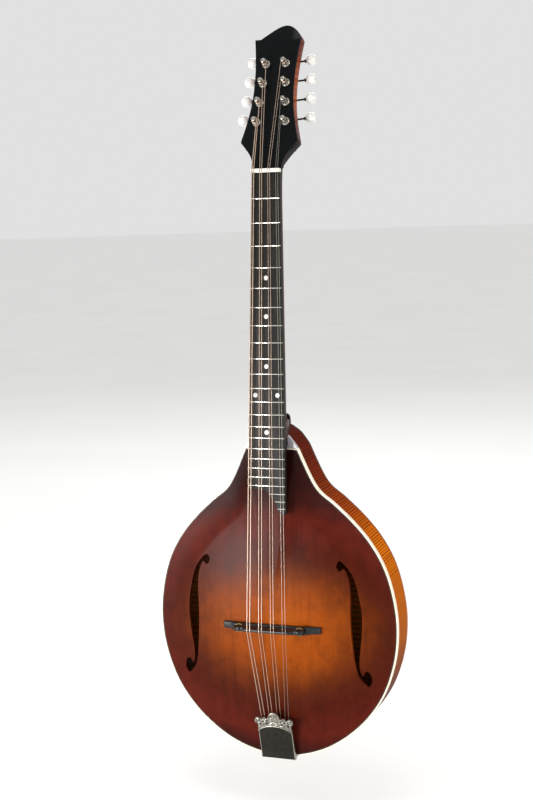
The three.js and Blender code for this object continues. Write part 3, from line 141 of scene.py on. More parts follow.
HEAD_TILT, HEAD_DROP = math.radians(15), 5
HEAD_THICKNESS, VENEER = 14, 2
HEAD_LENGTH, HEAD_HALF, CREST_RISE = 153.6, 33.4, 15.3
HEAD_SIDE_SHARES = (
    (0.5, 0), (0.525, 0.04), (0.61, 0.092), (0.77, 0.145), (0.95, 0.19), (1, 0.213),
    (0.925, 0.28), (0.85, 0.35), (0.765, 0.45), (0.715, 0.55), (0.7, 0.65), (0.71, 0.76),
    (0.755, 0.88), (0.82, 1),
)
HEAD_CREST_SHARES = (
    (0.737, 0.35), (0.6, 0.69), (0.44, 0.92), (0.296, 1), (0.19, 0.98), (0.075, 0.914),
    (-0.135, 0.684), (-0.344, 0.395), (-0.533, 0.125), (-0.62, 0.01),
)
FLARE_START, FLARE_END, SHAFT_BACK = 5, 24, 16.3

POST_PITCH, FIRST_POST = 23, 55
FIRST_SPREAD, LAST_SPREAD = 34, 23.4
POST_RADIUS, POST_WAIST, POST_HEIGHT = 2.8, 2.4, 12
GEAR_TEETH, GEAR_RADIUS = 14, 6
GEAR_ROOT = GEAR_RADIUS - 0.9
WORM_DEPTH, WORM_RADIUS, WORM_LENGTH = 20, 2.2, 8.6
WORM_PITCH, WORM_THREAD = 1.9, 0.35
WORM_RISE = GEAR_RADIUS + 0.4 + WORM_RADIUS
SHAFT_RADIUS, BUTTON_REACH, BUTTON_DIAMETER, BUTTON_THICKNESS = 1.1, 24.2, 12.4, 12.2
PLATE_FRONT = HEAD_THICKNESS + SEAT_GAP
PLATE_SCREWS = (-7.4, 14.2, 37.2, 60.2)

FOOT_HALF, FOOT_THICKNESS, FOOT_TOP = 58.4, 8.8, 22
FOOT_SHOULDER, FOOT_WING, FOOT_WING_RISE, FOOT_END_RISE = 43, 46.5, 4.4, 3
FOOT_SUNK, FOOT_CHAMFER, FOOT_SLOPE = 0.12, 0.5, 1.6
SADDLE_HALF, SADDLE_FOOT, SADDLE_RISE = 42.2, 25.4, 3.7
SADDLE_THICK, SADDLE_THIN, SADDLE_LIP = 6.4, 2.6, 0.45
SADDLE_SHARES = (
    (1, 0.2), (0.96, 0.5), (0.84, 0.68), (0.76, 0.56), (0.69, 0.68), (0.62, 1), (0.3, 1),
)
STUD_PLACE, STUD_RADIUS, STUD_TOP = 36, 1.5, 28.8
STUD_AIR, STUD_HEADROOM = 0.4, 1.4
WHEEL_RADIUS, WHEEL_NOTCH, WHEEL_THICKNESS, WHEEL_FOOT = 5.4, 0.35, 2, 23

TAIL_TILT, TAIL_RISE, TAIL_OVERHANG = math.radians(14.4), 5.2, 1.4
COVER_HALF, COVER_LENGTH, FLANGE_DEPTH = 20.6, 40.2, 3.8
CREST_HALF, CREST_LENGTH = 22.9, 22.2
CREST_SHARES = (
    (0.86, 0.12), (0.9, 0.28), (0.99, 0.46), (0.99, 0.58), (0.9, 0.66), (0.77, 0.64), (0.64, 0.56),
    (0.58, 0.64), (0.48, 0.68), (0.37, 0.6), (0.31, 0.68), (0.24, 0.86), (0.14, 0.97),
)
# Holes of the crest: place across and up, and radius
CREST_HOLES = (
    (9.3, 47.4, 1.2), (13.2, 50.0, 1.2), (5.6, 46.6, 0.9), (16.7, 46.2, 1.4),
    (12.6, 45.2, 0.9), (3.4, 57.4, 0.9), (8.2, 51.4, 0.9), (17.2, 42.4, 0.8),
)
# Raised lines of the crest: name, height over the cover, radius, and places across and up
CREST_LINES = (
    ("leaf", 1.2, 0.75,
     ((4.6, 45.2), (7.6, 48.6), (10.8, 50.2), (14.0, 47.6), (15.4, 44.4), (18.4, 42.2))),
    ("sprig", 1.1, 0.7, ((6.4, 52.6), (9.4, 53.6), (12.2, 52.2), (14.6, 51.4))),
    ("vein", 1.0, 0.55, ((7.4, 44.6), (10.4, 45.6), (12.4, 48.2), (15.2, 48.6))),
)
HOOK_UP, HOOK_THICKNESS = 29.4, 1.2
STRING_AT_HOOK = 2.9
COVER_ROOM = 70

# The stage in metres: name, place, aim, size, watts and tint of each light; the camera
FLOOR_RADIUS = 30
LIGHTS = (
    ("softbox_left", (-0.71, -1.35, -0.54), (0, 0, -0.47), (0.5, 0.26), 24, "#f6f3f2"),
    ("softbox_right", (2.4, -0.5, 0.2), (0, 0, -0.4), (0.8, 1.6), 16, "#fff3e2"),
    ("softbox_above", (0.3, -1.5, 2.8), (0, 0, -0.3), (1.4, 1.0), 16, "#ffffff"),
    ("softbox_back", (-0.4, 2.2, 1.6), (0, 0, -0.3), (2.0, 1.2), 26, "#ffffff"),
)
AIR_COLOUR, AIR_STRENGTH = "#fbfbfb", 0.78
CAMERA_PLACE = (0.5668, -1.579395, -0.042559)
CAMERA_TURN, CAMERA_DOWN, CAMERA_ROLL = 20.16, 7.76, -1.76
CAMERA_LENS, CAMERA_SENSOR = 67.0, 36.0

# Frames: from millimetres in a piece's own frame to metres in the row frame
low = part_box("top_binding")[0]
BODY = Matrix.Translation((0, low.y, low.z)) @ Matrix.Scale(MM, 4)
NECK = BODY @ Matrix.Translation((
    0,
    math.sin(NECK_ANGLE) * BODY_JOINT - FRET_PLANE_RISE,
    math.cos(NECK_ANGLE) * BODY_JOINT + BODY_LENGTH,
)) @ Matrix.Rotation(-NECK_ANGLE, 4, "X")
HEAD = (NECK @ Matrix.Translation((0, HEAD_DROP, NUT_THICKNESS))
        @ Matrix.Rotation(-HEAD_TILT, 4, "X"))
TAIL = (BODY @ Matrix.Translation((0, -TAIL_RISE, -TAIL_OVERHANG))
        @ Matrix.Rotation(TAIL_TILT, 4, "X"))
COLUMN_TILT = math.asin((FIRST_SPREAD - LAST_SPREAD) / 2 / (3 * POST_PITCH))
COLUMNS = {
    side: HEAD @ Matrix.Translation((side * FIRST_SPREAD / 2, 0, FIRST_POST))
    @ Matrix.Rotation(-side * COLUMN_TILT, 4, "Y")
    for side in (-1, 1)
}


def string_of(side, step):
    """The number of the string whose post is the given step up a column."""
    return step + 1 if side < 0 else 8 - step


# Lines


def curve_through(points, steps, closed=False):
    """A smooth line through points, with the same number of steps between each two."""
    count = len(points)
    line = []
    for k in range(count if closed else count - 1):
        four = [points[(k + i) % count] if closed else points[min(max(k + i, 0), count - 1)]
                for i in (-1, 0, 1, 2)]
        for step in range(steps):
            t = step / steps
            line.append(tuple(
                0.5 * (2 * b + (c - a) * t + (2 * a - 5 * b + 4 * c - d) * t * t
                       + (3 * b - a - 3 * c + d) * t * t * t)
                for a, b, c, d in zip(*four)
            ))
    if not closed:
        line.append(tuple(points[-1]))
    return line


def evenly(line, steps):
    """The same line with equal steps along its length."""
    runs = [0.0]
    for a, b in zip(line, line[1:]):
        runs.append(runs[-1] + math.dist(a, b))
    out, k = [], 0
    for step in range(steps + 1):
        want = runs[-1] * step / steps
        while k < len(line) - 2 and runs[k + 1] < want:
            k += 1
        share = (want - runs[k]) / (runs[k + 1] - runs[k])
        out.append(tuple(a + (b - a) * share for a, b in zip(line[k], line[k + 1])))
    return out


def inset(loop, amount):
    """A closed anticlockwise loop moved inwards, its corners mitred."""
    out = []
    for k, (x, z) in enumerate(loop):
        normals = []
        for (ax, az), (bx, bz) in ((loop[k - 1], (x, z)), ((x, z), loop[(k + 1) % len(loop)])):
            run = math.hypot(bx - ax, bz - az)
            normals.append(((az - bz) / run, (bx - ax) / run))
        (ax, az), (bx, bz) = normals
        size = amount / (1 + ax * bx + az * bz)
        out.append((x + (ax + bx) * size, z + (az + bz) * size))
    return out


def mirrored(points):
    return [(-point[0],) + tuple(point[1:]) for point in reversed(points)]


CORNER = (NECK_END_HALF, BODY_LENGTH)
SIDE = [(a * HALF_WIDTH, u * BODY_LENGTH) for a, u in OUTLINE_SHARES] + [CORNER]
SIDE_LINE = curve_through(mirrored(SIDE) + [(0.0, 0.0)] + SIDE, 12)
SHOULDER = [(a * NECK_END_HALF, BODY_LENGTH + u * SHOULDER_RISE) for a, u in SHOULDER_SHARES]
SHOULDER_TOP = BODY_LENGTH + SHOULDER_RISE
SHOULDER_LINE = curve_through([CORNER] + SHOULDER + [(0, SHOULDER_TOP)], 5)[1:]
TEARDROP = evenly(SIDE_LINE, 192)
NECK_END = [(NECK_END_HALF * (1 - k / 8), BODY_LENGTH) for k in range(1, 16)]
TOP_LOOP = inset(TEARDROP + NECK_END, BINDING_WIDTH + SEAT_GAP)
RIM_LOOP = TEARDROP + SHOULDER_LINE + mirrored(SHOULDER_LINE[:-1])


def arch_height(share, height):
    edge = max(0.0, (share - 0.75) / 0.25)
    return height * (1 - share * share) - RECURVE * math.sin(math.pi * edge)


def top_face(across, up):
    """Depth of the top's outer face at a place on the body."""
    dx, dz, best = across, up - ARCH_CENTRE, math.inf
    for (ax, az), (bx, bz) in zip(TOP_LOOP, TOP_LOOP[1:] + TOP_LOOP[:1]):
        ex, ez = bx - ax, bz - az
        turn = dx * ez - dz * ex
        if not turn:
            continue
        away = (ax * ez - (az - ARCH_CENTRE) * ex) / turn
        along = (ax * dz - (az - ARCH_CENTRE) * dx) / turn
        if away > 0 and 0 <= along <= 1:
            best = min(best, away)
    return -arch_height(1 / best, TOP_ARCH)


def line_at(line, up):
    """How far across a side line is at a height."""
    for (x0, z0), (x1, z1) in zip(line, line[1:]):
        if z0 <= up <= z1:
            return x0 + (x1 - x0) * (up - z0) / (z1 - z0 or 1)
    return line[-1][0]


def board_half(from_nut):
    return (NUT_WIDTH + (BOARD_END_WIDTH - NUT_WIDTH) * from_nut / BOARD_BASS_END) / 2


# Tools


def only(piece):
    """Deselects everything else and makes the piece the active one."""
    bpy.ops.object.select_all(action="DESELECT")
    piece.select_set(True)
    bpy.context.view_layer.objects.active = piece


def named(name):
    piece = bpy.context.object
    piece.name = name
    piece.data.name = name
    return piece


def weld(piece, fill=False, apart=0.0005):
    """Joins doubled points, closes what is open if asked, and turns all faces outwards."""
    only(piece)
    bpy.ops.object.mode_set(mode="EDIT")
    bpy.ops.mesh.select_all(action="SELECT")
    bpy.ops.mesh.remove_doubles(threshold=apart)
    if fill:
        bpy.ops.mesh.fill_holes(sides=0)
    bpy.ops.mesh.normals_make_consistent(inside=False)
    bpy.ops.object.mode_set(mode="OBJECT")
    return piece


def grid(name, around, along, place, fill=False):
    """A grid primitive pulled into shape: place gives the point for each step around and along."""
    bpy.ops.object.select_all(action="DESELECT")
    bpy.ops.mesh.primitive_grid_add(x_subdivisions=around, y_subdivisions=along, size=1)
    piece = named(name)
    for vertex in piece.data.vertices:
        i, j = round((vertex.co.x + 0.5) * around), round((vertex.co.y + 0.5) * along)
        vertex.co = place(i, j)
    return weld(piece, fill)


def loft(name, rings, closed=False):
    """A skin over rings of points; a closed one runs back into its first ring."""
    rings = rings + rings[:1] if closed else rings
    count = len(rings[0])
    return grid(name, count, len(rings) - 1, lambda i, j: rings[j][i % count], not closed)


def plate(name, outline, front, back):
    """A circle primitive pulled to an outline across and up, then extruded into the depth."""
    bpy.ops.object.select_all(action="DESELECT")
    bpy.ops.mesh.primitive_circle_add(vertices=len(outline), fill_type="NGON")
    piece = named(name)
    for vertex, (across, up) in zip(piece.data.vertices, outline):
        vertex.co = (across, front, up)
    only(piece)
    bpy.ops.object.mode_set(mode="EDIT")
    bpy.ops.mesh.select_all(action="SELECT")
    bpy.ops.mesh.extrude_region_move(TRANSFORM_OT_translate={"value": (0, back - front, 0)})
    bpy.ops.mesh.select_all(action="SELECT")
    bpy.ops.mesh.normals_make_consistent(inside=False)
    bpy.ops.object.mode_set(mode="OBJECT")
    return piece


def block(name, xs, ys, zs):
    """A cube primitive added at its size and place."""
    bpy.ops.object.select_all(action="DESELECT")
    middle = [(a + b) / 2 for a, b in (xs, ys, zs)]
    bpy.ops.mesh.primitive_cube_add(size=1, location=middle)
    piece = named(name)
    piece.scale = [abs(b - a) for a, b in (xs, ys, zs)]
    bpy.ops.object.transform_apply(location=True, rotation=True, scale=True)
    return piece


def turned(name, profile, sides=32):
    """A round piece on the depth axis; the profile gives [radius, depth] from end to end."""
    def place(i, j):
        turn = 2 * math.pi * i / sides
        return (profile[j][0] * math.cos(turn), profile[j][1], profile[j][0] * math.sin(turn))
    return grid(name, sides, len(profile) - 1, place, True)


def tube(name, points, radius, sides=10, closed=False):
    """A round wire along points; radius is one number, or one for each point."""
    points = [Vector(point) for point in points]
    count = len(points)
    radii = radius if isinstance(radius, (list, tuple)) else [radius] * count
    side = Vector((1, 0.01, 0.02))
    rings = []
    for k, point in enumerate(points):
        before = points[k - 1] if k or closed else point
        after = points[(k + 1) % count] if k < count - 1 or closed else point
        along = (after - before).normalized()
        side = (side - along * side.dot(along)).normalized()
        other = along.cross(side)
        rings.append([
            point + (side * math.cos(turn) + other * math.sin(turn)) * radii[k]
            for turn in (2 * math.pi * i / sides for i in range(sides))
        ])
    return loft(name, rings, closed)


def modify(piece, kind, **settings):
    """Adds one modifier with its settings and applies it."""
    only(piece)
    bpy.ops.object.modifier_add(type=kind)
    modifier = piece.modifiers[-1]
    for key, value in settings.items():
        setattr(modifier, key, value)
    bpy.ops.object.modifier_apply(modifier=modifier.name)
    return piece


def bevel(piece, width, segments=2, angle=35):
    return modify(piece, "BEVEL", width=width, segments=segments, limit_method="ANGLE",
                  angle_limit=math.radians(angle), use_clamp_overlap=True)


def discard(*pieces):
    """Removes patterns and cutters that have done their work."""
    for piece in pieces:
        bpy.data.objects.remove(piece)


def cut(piece, *cutters):
    """Takes the cutters out of the piece and removes them."""
    for cutter in cutters:
        modify(piece, "BOOLEAN", operation="DIFFERENCE", solver="EXACT", object=cutter)
        discard(cutter)
    return piece


def join(name, *pieces):
    """Makes one object of several."""
    bpy.ops.object.select_all(action="DESELECT")
    for piece in pieces:
        piece.select_set(True)
    bpy.context.view_layer.objects.active = pieces[0]
    bpy.ops.object.join()
    return named(name)


def copy_of(piece, name, place=None):
    """A copy with its own mesh, moved by a matrix in the piece's own frame."""
    other = piece.copy()
    other.data = piece.data.copy()
    bpy.context.collection.objects.link(other)
    other.name = other.data.name = name
    if place is not None:
        other.data.transform(place)
    return other


def settle(piece, place, body, material, nodes=(), angle=32):
    """Puts a finished piece in the row frame, smooths it, and says what it rides on and replaces.

    A piece that would bend between two bodies gives them with the two places between which it
    bends; these are not used, and the piece is only fixed in the row frame."""
    only(piece)
    piece.matrix_world = place
    bpy.ops.object.transform_apply(location=True, rotation=True, scale=True)
    bpy.ops.object.shade_smooth_by_angle(angle=math.radians(angle))
    piece.data.materials.clear()
    piece.data.materials.append(material)
    if isinstance(body, tuple):
        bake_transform(piece)
    else:
        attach(piece, body)
    if nodes:
        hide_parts(*nodes)
    return piece


# Finishes


def linear(code):
    """An sRGB hex colour as the linear colour that the sockets take."""
    parts = [int(code[i:i + 2], 16) / 255 for i in (1, 3, 5)]
    return tuple(part / 12.92 if part <= 0.04045 else ((part + 0.055) / 1.055) ** 2.4
                 for part in parts) + (1.0,)


def chosen(name):
    """A colour that the user has picked."""
    return tuple(getattr(bpy.context.scene.mandolin_colours, name)) + (1.0,)


def add(tree, kind, links=None, stops=None, **settings):
    """Adds a node; links gives its inputs by name or number, and stops fill a colour ramp."""
    made = tree.nodes.new("ShaderNode" + kind)
    for key, value in settings.items():
        setattr(made, key, value)
    if stops:
        ramp = made.color_ramp.elements
        while len(ramp) < len(stops):
            ramp.new(0.5)
        for element, (place, colour) in zip(ramp, stops):
            element.position = place
            if isinstance(colour, str):
                element.color = linear(colour)
            else:
                element.color = colour if isinstance(colour, tuple) else (colour,) * 3 + (1.0,)
    for key, value in (links or {}).items():
        if isinstance(value, bpy.types.NodeSocket):
            tree.links.new(value, made.inputs[key])
        else:
            made.inputs[key].default_value = value
    return made


def noise(tree, place, scale, detail=2, roughness=0.5):
    """A noise over a place; a scale of three numbers stretches it along the axes."""
    if isinstance(scale, tuple):
        place, scale = add(tree, "Mapping", {"Vector": place, "Scale": scale}).outputs[0], 1
    return add(tree, "TexNoise", {"Vector": place, "Scale": scale, "Detail": detail,
                                  "Roughness": roughness}).outputs[0]


def toned(tree, factor, stops):
    """A factor turned into a colour or a shade by a ramp."""
    return add(tree, "ValToRGB", {"Fac": factor}, stops).outputs[0]


def darkened(tree, share, colour, shade):
    """A colour with a shade multiplied over it by a share."""
    return add(tree, "MixRGB", {0: share, 1: colour, 2: shade}, blend_type="MULTIPLY").outputs[0]


def finish_named(name, build, **sockets):
    """The material of that name, made the first time; sockets are set on its shader.

    build gives the colour, and where there is a bump also its height, strength and distance."""
    if name in bpy.data.materials:
        return bpy.data.materials[name]
    material = bpy.data.materials.new(name)
    material.use_nodes = True
    tree = material.node_tree
    shader = tree.nodes["Principled BSDF"]
    for key, value in sockets.items():
        shader.inputs[key.replace("_", " ")].default_value = value
    colour, *bumps = build(tree, shader, add(tree, "TexCoord").outputs)
    tree.links.new(colour, shader.inputs["Base Color"])
    if bumps:
        height, strength, distance = bumps
        bump = add(tree, "Bump", {"Height": height, "Strength": strength, "Distance": distance})
        tree.links.new(bump.outputs[0], shader.inputs["Normal"])
    return material


def plain_finish(name, scale, stops, detail=2, **sockets):
    """A finish whose tone drifts with one noise between the stops of its ramp."""
    def build(tree, shader, coords):
        return [toned(tree, noise(tree, coords["Object"], scale, detail), stops)]
    return finish_named(name, build, **sockets)


def sunburst_spruce():
    """Spruce top, stained from amber to dark red-brown and rubbed out satin.

    Fine straight grain runs from tail to neck. The amber lies round the bridge, a brown ring goes
    round it, and the last of the rim is redder again. Towards the neck end and the tail it turns
    darker brown still: partly stain, and partly painted shade beside the end of the fingerboard."""
    def build(tree, shader, coords):
        place = coords["Object"]
        middle = BODY @ Vector((BURST_ACROSS, 0, BURST_UP))
        wide, tall = BURST_WIDE * MM, BURST_TALL * MM
        burst = add(tree, "Mapping", {
            "Vector": place, "Location": (-middle.x / wide, 0, -middle.z / tall),
            "Scale": (1 / wide, 0, 1 / tall)}).outputs[0]
        away = add(tree, "VectorMath", {0: burst}, operation="LENGTH").outputs["Value"]
        # stain patches about 60 mm across
        cloud = noise(tree, place, 16, 3, 0.55)
        uneven = add(tree, "Math", {0: cloud, 1: 0.28, 2: away}, operation="MULTIPLY_ADD")
        share = add(tree, "MapRange", {
            "Value": uneven.outputs[0], "From Min": 0.14, "From Max": 2.49})
        # the darkest stops, towards the neck end and the tail, are partly stain and partly painted
        # shade beside the end of the fingerboard
        stain = toned(tree, share.outputs[0], [
            (0.06, chosen("amber")), (0.18, "#934203"), (0.27, "#7f3804"), (0.35, "#622704"),
            (0.43, "#4b1905"), (0.5, "#481406"), (0.6, chosen("edge")), (0.68, chosen("edge")),
            (0.77, "#37100a"), (0.86, "#2c0c07"), (1.0, "#240a06")])
        # annual rings 1.2 mm apart, drawn a little coarser than the real ones so that they show
        grain = noise(tree, place, (760, 40, 9), 2, 0.6)
        shade = toned(tree, grain, [(0.3, 0.66), (0.5, 1.0), (0.7, 0.82)])
        broad = toned(tree, noise(tree, place, (95, 10, 4), 1), [(0.3, 0.84), (0.7, 1.0)])
        streaked = darkened(tree, 0.8, darkened(tree, 0.75, stain, shade), broad)
        # stain that took unevenly, in blots about 15 mm across
        blot = toned(tree, noise(tree, place, 62, 3, 0.6), [(0.34, 0.6), (0.56, 1.0)])
        return darkened(tree, 0.6, streaked, blot), grain, 0.12, 0.0002
    return finish_named("satin_sunburst_spruce", build, Roughness=0.34, Specular_IOR_Level=0.065)


def flamed_maple(name, along, tones, low, high, gloss=0.14):
    """Maple with a flame across the grain under a thin gloss: dark stripes, about 3 mm apart on
    the ribs and 6 mm apart on the back and the neck.

    along says what the stripes follow: the rib's own UV map, or the height on the piece. The
    tones run from the low place to the high one."""
    def build(tree, shader, coords):
        place, rib = coords["Object"], along == "rib"
        wobble = add(tree, "TexNoise", {"Vector": place, "Scale": 22, "Detail": 2})
        # the rib's map is 1 long over about 600 mm
        wave = add(tree, "Mapping", {
            "Vector": coords["UV"] if rib else place,
            "Scale": (0.4, 300, 1) if rib else (13, 13, 250)}).outputs[0]
        bent = add(tree, "VectorMath", {0: wave, 1: wobble.outputs["Color"]}, operation="ADD")
        ripple = add(tree, "TexWave", {
            "Vector": wave, "Scale": 0.2, "Distortion": 3.5, "Detail": 1.0, "Detail Scale": 0.8},
            bands_direction="Y" if rib else "Z").outputs["Fac"]
        patch = noise(tree, bent.outputs[0], 1, 1.5)
        flame = add(tree, "MixRGB", {0: 0.45, 1: patch, 2: ripple}).outputs[0]
        stripes = toned(tree, flame, [(0.3, 0.1), (0.44, 0.5), (0.56, 1.0)] if rib
                        else [(0.28, 0.35), (0.46, 0.82), (0.62, 1.0)])
        height = add(tree, "SeparateXYZ", {0: place}).outputs["Z"]
        share = add(tree, "MapRange", {"Value": height, "From Min": low.z, "From Max": high.z})
        fibre = noise(tree, place, (900, 900, 60))
        fibres = toned(tree, fibre, [(0.3, 0.84), (0.7, 1.0)])
        striped = darkened(tree, 0.72, toned(tree, share.outputs[0], tones), stripes)
        return darkened(tree, 0.7, striped, fibres), fibre, 0.05, 0.0001
    return finish_named(name, build, Roughness=0.36, Specular_IOR_Level=gloss)


def rib_maple():
    """Flamed maple of the ribs: orange in the middle, dark at the tail and red at the shoulder."""
    return flamed_maple("flamed_maple_ribs", "rib", [
        (0.0, "#200c05"), (0.16, "#3a1807"), (0.28, "#8a4008"), (0.42, "#c56503"),
        (0.66, "#d87001"), (0.75, "#a84703"), (0.85, "#7a2a0b"), (1.0, "#56190d")],
        BODY @ Vector((0, 0, 0)), BODY @ Vector((0, 0, SHOULDER_TOP)), 0.004)


def back_maple():
    """Flamed maple of the back: amber across its widest part, dark brown towards both ends."""
    return flamed_maple("flamed_maple_back", "height", [
        (0.0, "#3a190f"), (0.18, "#74341a"), (0.42, "#b4621c"), (0.62, "#a75319"),
        (0.84, "#5f2716"), (1.0, "#2c130e")],
        BODY @ Vector((0, 0, 0)), BODY @ Vector((0, 0, SHOULDER_TOP)))


def neck_maple():
    """Flamed maple of the neck: dark at the heel, red-brown between, near-black round the nut as
    painted shade, and amber on the headstock above as a painted highlight.
    """
    # the near-black stops at 0.665 and 0.735 are painted shade on the headstock's sides by the nut,
    # and the amber stops from 0.77 to 0.95 are a painted highlight
    return flamed_maple("flamed_maple_neck", "height", [
        (0.0, "#1f0d0a"), (0.1, "#4a1c10"), (0.3, "#6c2c14"), (0.6, "#6a2b13"),
        (0.665, "#220d09"), (0.735, "#120806"), (0.77, "#5e2210"), (0.83, "#9a481a"),
        (0.9, "#a24c19"), (0.95, "#7e3313"), (1.0, "#5e220f")],
        BODY @ Vector((0, 0, BODY_LENGTH)), HEAD @ Vector((0, 0, HEAD_LENGTH)), 0.1)


def bare_wood():
    """Unfinished spruce and basswood inside the body: dull, with a soft straight grain."""
    return plain_finish("bare_lining_wood", (420, 420, 14), [(0.3, "#6d4c30"), (0.7, "#8d6844")],
                        Roughness=0.82)


def grey_lacquer():
    """Painted reflection on the end of the neck block, beside the fingerboard: a pale, smooth,
    glossy grey.
    """
    return plain_finish("grey_lacquer", 40, [(0.3, "#8f8b91"), (0.7, "#aaa6ab")], Roughness=0.2)


def ivoroid():
    """Celluloid binding: warm cream with faint darker clouds, scraped and polished."""
    return plain_finish("ivoroid_celluloid", 240, [(0.3, "#e2d8ba"), (0.7, chosen("binding"))],
                        Roughness=0.32, IOR=1.5, Coat_Weight=0.2)


def bone():
    """Bone nut: off-white with faint fibres, filed and polished."""
    return plain_finish("polished_bone", (60, 900, 900), [(0.25, "#e3dccb"), (0.7, "#f6f4ec")],
                        Roughness=0.35, Subsurface_Weight=0.08,
                        Subsurface_Radius=(0.002, 0.0015, 0.001))


def line_black():
    """The black-dyed maple line let in beside the binding, under the same satin lacquer."""
    return plain_finish("black_dyed_line", 500, [(0.3, "#140f0d"), (0.7, "#201815")],
                        Roughness=0.4)


def studio_white():
    """Matt white studio board with the faintest mottle."""
    return plain_finish("matt_studio_white", 3, [(0.3, "#f5f5f4"), (0.7, "#f8f8f7")],
                        Roughness=0.9)


def ebony(name="oiled_ebony", dark="#0f1112", light="#222527", roughness=0.34, gloss=0.3):
    """Ebony: near black with open pores and grey-brown streaks 1 mm wide, oiled and rubbed."""
    def build(tree, shader, coords):
        streak = noise(tree, coords["Object"], (700, 700, 22), 3)
        pore = noise(tree, coords["Object"], (2600, 2600, 260), 1)
        return toned(tree, streak, [(0.32, dark), (0.68, light)]), pore, 0.15, 0.0001
    return finish_named(name, build, Roughness=roughness, Specular_IOR_Level=gloss)


def black_lacquer():
    """Polished black lacquer on the headstock's face: deep black, with a mirror coat and the
    slightest orange peel, drawn at 4 mm."""
    def build(tree, shader, coords):
        peel = noise(tree, coords["Object"], 260, 1)
        tone = toned(tree, peel, [(0.2, "#060708"), (0.8, chosen("lacquer"))])
        return tone, peel, 0.03, 0.0001
    return finish_named("polished_black_lacquer", build, Roughness=0.14, Specular_IOR_Level=0.1)


def metal(name, dark, light, roughness, grit=900.0, strength=0.04):
    """A plated or drawn metal: its tone shifts slightly, and fine marks break its mirror."""
    def build(tree, shader, coords):
        mark = noise(tree, coords["Object"], grit, 3)
        rough = add(tree, "MapRange", {"Value": mark, "To Min": roughness * 0.75,
                                       "To Max": roughness * 1.3}).outputs[0]
        tree.links.new(rough, shader.inputs["Roughness"])
        return toned(tree, mark, [(0.3, dark), (0.7, light)]), mark, strength, 0.0001
    return finish_named(name, build, Metallic=1.0)


def nickel():
    """Nickel plate on the tuners and the tailpiece: warm silver, a little dulled by handling, and
    toned darker than bright nickel as a painted dark reflection.
    """
    # the darker tone stands in for dark reflections on posts and bushings: a painted reflection
    return metal("nickel_plate", "#8a867d", "#b4b0a7", 0.24)


def worm_steel():
    """Oiled steel of the worms and their shafts: a dark, even grey."""
    return metal("oiled_steel", "#2b2a28", "#4d4b47", 0.34)


def cast_nickel():
    """The cast crest: nickel with the soft relief of a casting and a greyer tone in its hollows."""
    return metal("cast_nickel", "#77756d", "#c2bfb5", 0.3, 420.0, 0.3)


def dark_plate():
    """The cover's plate: polished metal in charcoal, a painted reflection of a dark room."""
    return metal("black_nickel_plate", "#33322e", "#3d3b37", 0.2, 300.0, 0.03)


def fret_wire():
    """Nickel silver fret wire, drawn and polished by play."""
    return metal("nickel_silver_wire", "#c2bfb6", "#dedbd2", 0.24)


def brass():
    """Brass studs and wheels, turned, in a dark tone."""
    return metal("aged_brass", "#3a301e", "#5f4d2f", 0.42)


def wound_bronze():
    """A steel core wound with bronze, as on strings 1 to 6.

    The turns are drawn about 0.38 mm apart, which is 0.63 units of the wave texture. That is
    close to the wrap of the thickest string, and coarser than that of the thinner ones."""
    def build(tree, shader, coords):
        spiral = add(tree, "Mapping", {"Vector": coords["UV"], "Scale": (1, WINDINGS, 1)})
        ridge = add(tree, "TexWave", {"Vector": spiral.outputs[0], "Scale": 1, "Distortion": 0},
                    bands_direction="DIAGONAL").outputs["Fac"]
        # the darker tone in the grooves between the turns is painted shade
        tone = toned(tree, ridge, [(0.15, "#937d6c"), (0.8, chosen("bronze"))])
        return tone, ridge, 0.2, 0.0001
    return finish_named("wound_bronze", build, Metallic=1.0, Roughness=0.34)


def plain_steel():
    """Plain steel wire, as on strings 7 and 8: smooth, its grey a little uneven."""
    def build(tree, shader, coords):
        cloud = noise(tree, coords["Object"], 60)
        return toned(tree, cloud, [(0.15, "#98938b"), (0.8, "#bdb7ac")]), cloud, 0.02, 0.0001
    return finish_named("plain_steel_wire", build, Metallic=1.0, Roughness=0.34)


def pearloid():
    """Pearloid buttons and dots: white plastic with clouds of pearl about 3 mm across, polished."""
    def build(tree, shader, coords):
        place = coords["Object"]
        cell = add(tree, "TexVoronoi", {"Vector": place, "Scale": 330, "Randomness": 1.0},
                   feature="SMOOTH_F1").outputs["Distance"]
        cloud = add(tree, "TexNoise", {"Vector": place, "Scale": 420, "Detail": 3,
                                       "Distortion": 1.2}).outputs[0]
        mixed = add(tree, "Math", {0: cell, 1: cloud, 2: cloud}, operation="MULTIPLY_ADD")
        return [toned(tree, mixed.outputs[0], [(0.35, "#a9aaa7"), (0.55, "#cfcfcc"),
                                               (0.8, "#e2e2df")])]
    return finish_named("pearloid_plastic", build, Roughness=0.22, Coat_Weight=0.5,
                        Coat_Roughness=0.08, Subsurface_Weight=0.1,
                        Subsurface_Radius=(0.002, 0.002, 0.002))


# Pieces that several operators share


def arched_shell(name, loop, rim, height, thickness, edge, outward):
    """A carved plate, its rings running from the middle of its outer face round to the inner one.

    outward is -1 for the top, whose arch rises towards the strings, and 1 for the back."""
    outer = [k / 24 * 0.72 for k in range(24)] + [0.72 + k / 22 * 0.28 for k in range(23)]
    faces = [(share, rim + outward * arch_height(share, height)) for share in outer]
    for share in reversed(outer):
        # the last of the inner face is flat, where it lies on ribs and linings
        drop = -edge if share >= 0.94 else arch_height(share, height) - thickness
        faces.append((share, rim + outward * drop))
    rings = [[(x * share, y, ARCH_CENTRE + (z - ARCH_CENTRE) * share) for x, z in loop]
             for share, y in faces]
    return loft(name, rings)


